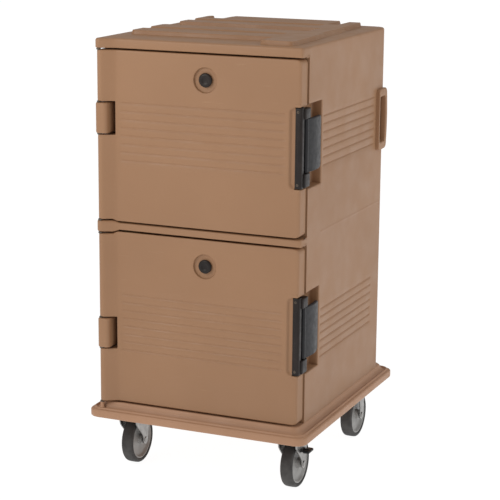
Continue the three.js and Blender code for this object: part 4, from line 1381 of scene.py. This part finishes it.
def hexagon(x, y, z0, z1, across, axis):
    """A hexagon nut along an axis, at that place across it."""
    angle = np.radians(np.arange(6) * 60 + 30)
    radius = across / 2 / np.cos(np.pi / 6)
    outline = np.array([x, y]) + radius * np.stack([np.cos(angle), np.sin(angle)], 1)
    return plate(outline, z0, z1, 0.8, axis, 3)


def caster(name, fork_body, swivels):
    """All pieces of one caster."""
    wheel_body = f"{name}_wheel"
    tread_low, tread_high = box_mm(f"{name}_wheel_tread")
    centre = (tread_low + tread_high) / 2
    radius, half = (tread_high[2] - tread_low[2]) / 2, (tread_high[0] - tread_low[0]) / 2
    piece(f"{name}_tyre", turned(tread_profile(radius, half), centre, "x", 96), SHADED_TREAD, wheel_body,
          [f"{name}_wheel_tread"])
    piece(f"{name}_hub", turned(core_profile(radius, half), centre, "x", 72), CORE, wheel_body,
          [f"{name}_wheel_core"])
    fork_low, fork_high = box_mm(f"{name}_fork")
    fork = piece(f"{name}_yoke", fork_sheet(fork_low, fork_high, centre), SHADED_ZINC, fork_body,
                 [f"{name}_fork"], outward=False, crease=60)
    thicken(fork, 3.6, 1.0)
    rim = fork.modifiers.new("edges", "BEVEL")
    rim.width, rim.segments = 0.9 * MM, 2
    rim.limit_method, rim.angle_limit = "ANGLE", np.radians(60)
    axle_low, axle_high = box_mm(f"{name}_axle")
    reach = (axle_high[0] - axle_low[0]) / 2
    tip = reach - 1
    bar = [(0, -tip), (5, -tip), (6, 1 - tip), (6, tip - 1), (5, tip), (0, tip)]
    shells = [turned(bar, centre, "x", 28)]
    for side in (-1, 1):
        ends = sorted((centre[0] + side * (reach - 5.4), centre[0] + side * (reach - 0.2)))
        shells.append(hexagon(centre[1], centre[2], *ends, 16.5, "x"))
    piece(f"{name}_spindle", joined(*shells), SHADED_ZINC, fork_body, [f"{name}_axle"])
    plate_low, plate_high = box_mm(f"{name}_caster_plate")
    shells = [plate(rectangle(plate_low[0], plate_high[0], plate_low[1], plate_high[1], 9), plate_low[2],
                    plate_high[2], 1.0)]
    for x in (plate_low[0] + 12, plate_high[0] - 12):
        for y in (plate_low[1] + 12, plate_high[1] - 12):
            shells.append(hexagon(x, y, plate_low[2] - 6, plate_low[2] + 0.5, 13, "z"))
    piece(f"{name}_top_plate", joined(*shells), SHADED_ZINC, "cart", [f"{name}_caster_plate"])
    if swivels:
        race_low, race_high = box_mm(f"{name}_swivel_race")
        mid = (race_low + race_high) / 2
        z0, z1 = race_low[2], race_high[2]
        profile = [(0, z0), (22, z0), (26, z0 + 1), (28, z0 + 3), (28, z0 + 5), (26.5, z0 + 6.2),
                   (26.5, z1 - 5.6), (27.6, z1 - 4.6), (27.6, z1 - 1.5), (26, z1), (0, z1)]
        piece(f"{name}_raceway", turned(profile, (mid[0], mid[1], 0), "z", 48), SHADED_ZINC, fork_body,
              [f"{name}_swivel_race"])


for corner in CORNERS:
    swivels = corner.startswith("front")
    caster(corner, f"{corner}_swivel" if swivels else "cart", swivels)
print("casters", CORNERS)

# %% [markdown]
# ## The brake pedal
# A small black foot pedal on the right front fork. It is a rounded tab on a round boss.

# %% Brake
(x0, y0, z0), (x1, y1, z1) = box_mm("front_right_brake_pedal")
boss_profile = [(0, x0), (6, x0), (7, x0 + 1), (7, x1 - 7), (6, x1 - 6), (0, x1 - 6)]
pedal_boss = turned(boss_profile, (0, y0 + 18, (z0 + z1) / 2), "x", 28)
tab = plate(rectangle(x0 + 5.5, x1, y0, y1, 5), z1 - 11, z1 - 3, 2.5)
piece("front_right_brake", joined(pedal_boss, tab), NYLON, "brake", ["front_right_brake_pedal"])
print("brake pedal")

# %% [markdown]
# ## The foam
# Rigid foam fills the walls, the doors and the base. It is wholly hidden, so the CAD
# solids stay as they are and only get their finish.

# %% Foam
for node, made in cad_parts.items():
    if node.endswith("_foam"):
        made.data.materials.clear()
        made.data.materials.append(FOAM)
print("foam in", [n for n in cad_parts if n.endswith("_foam")])
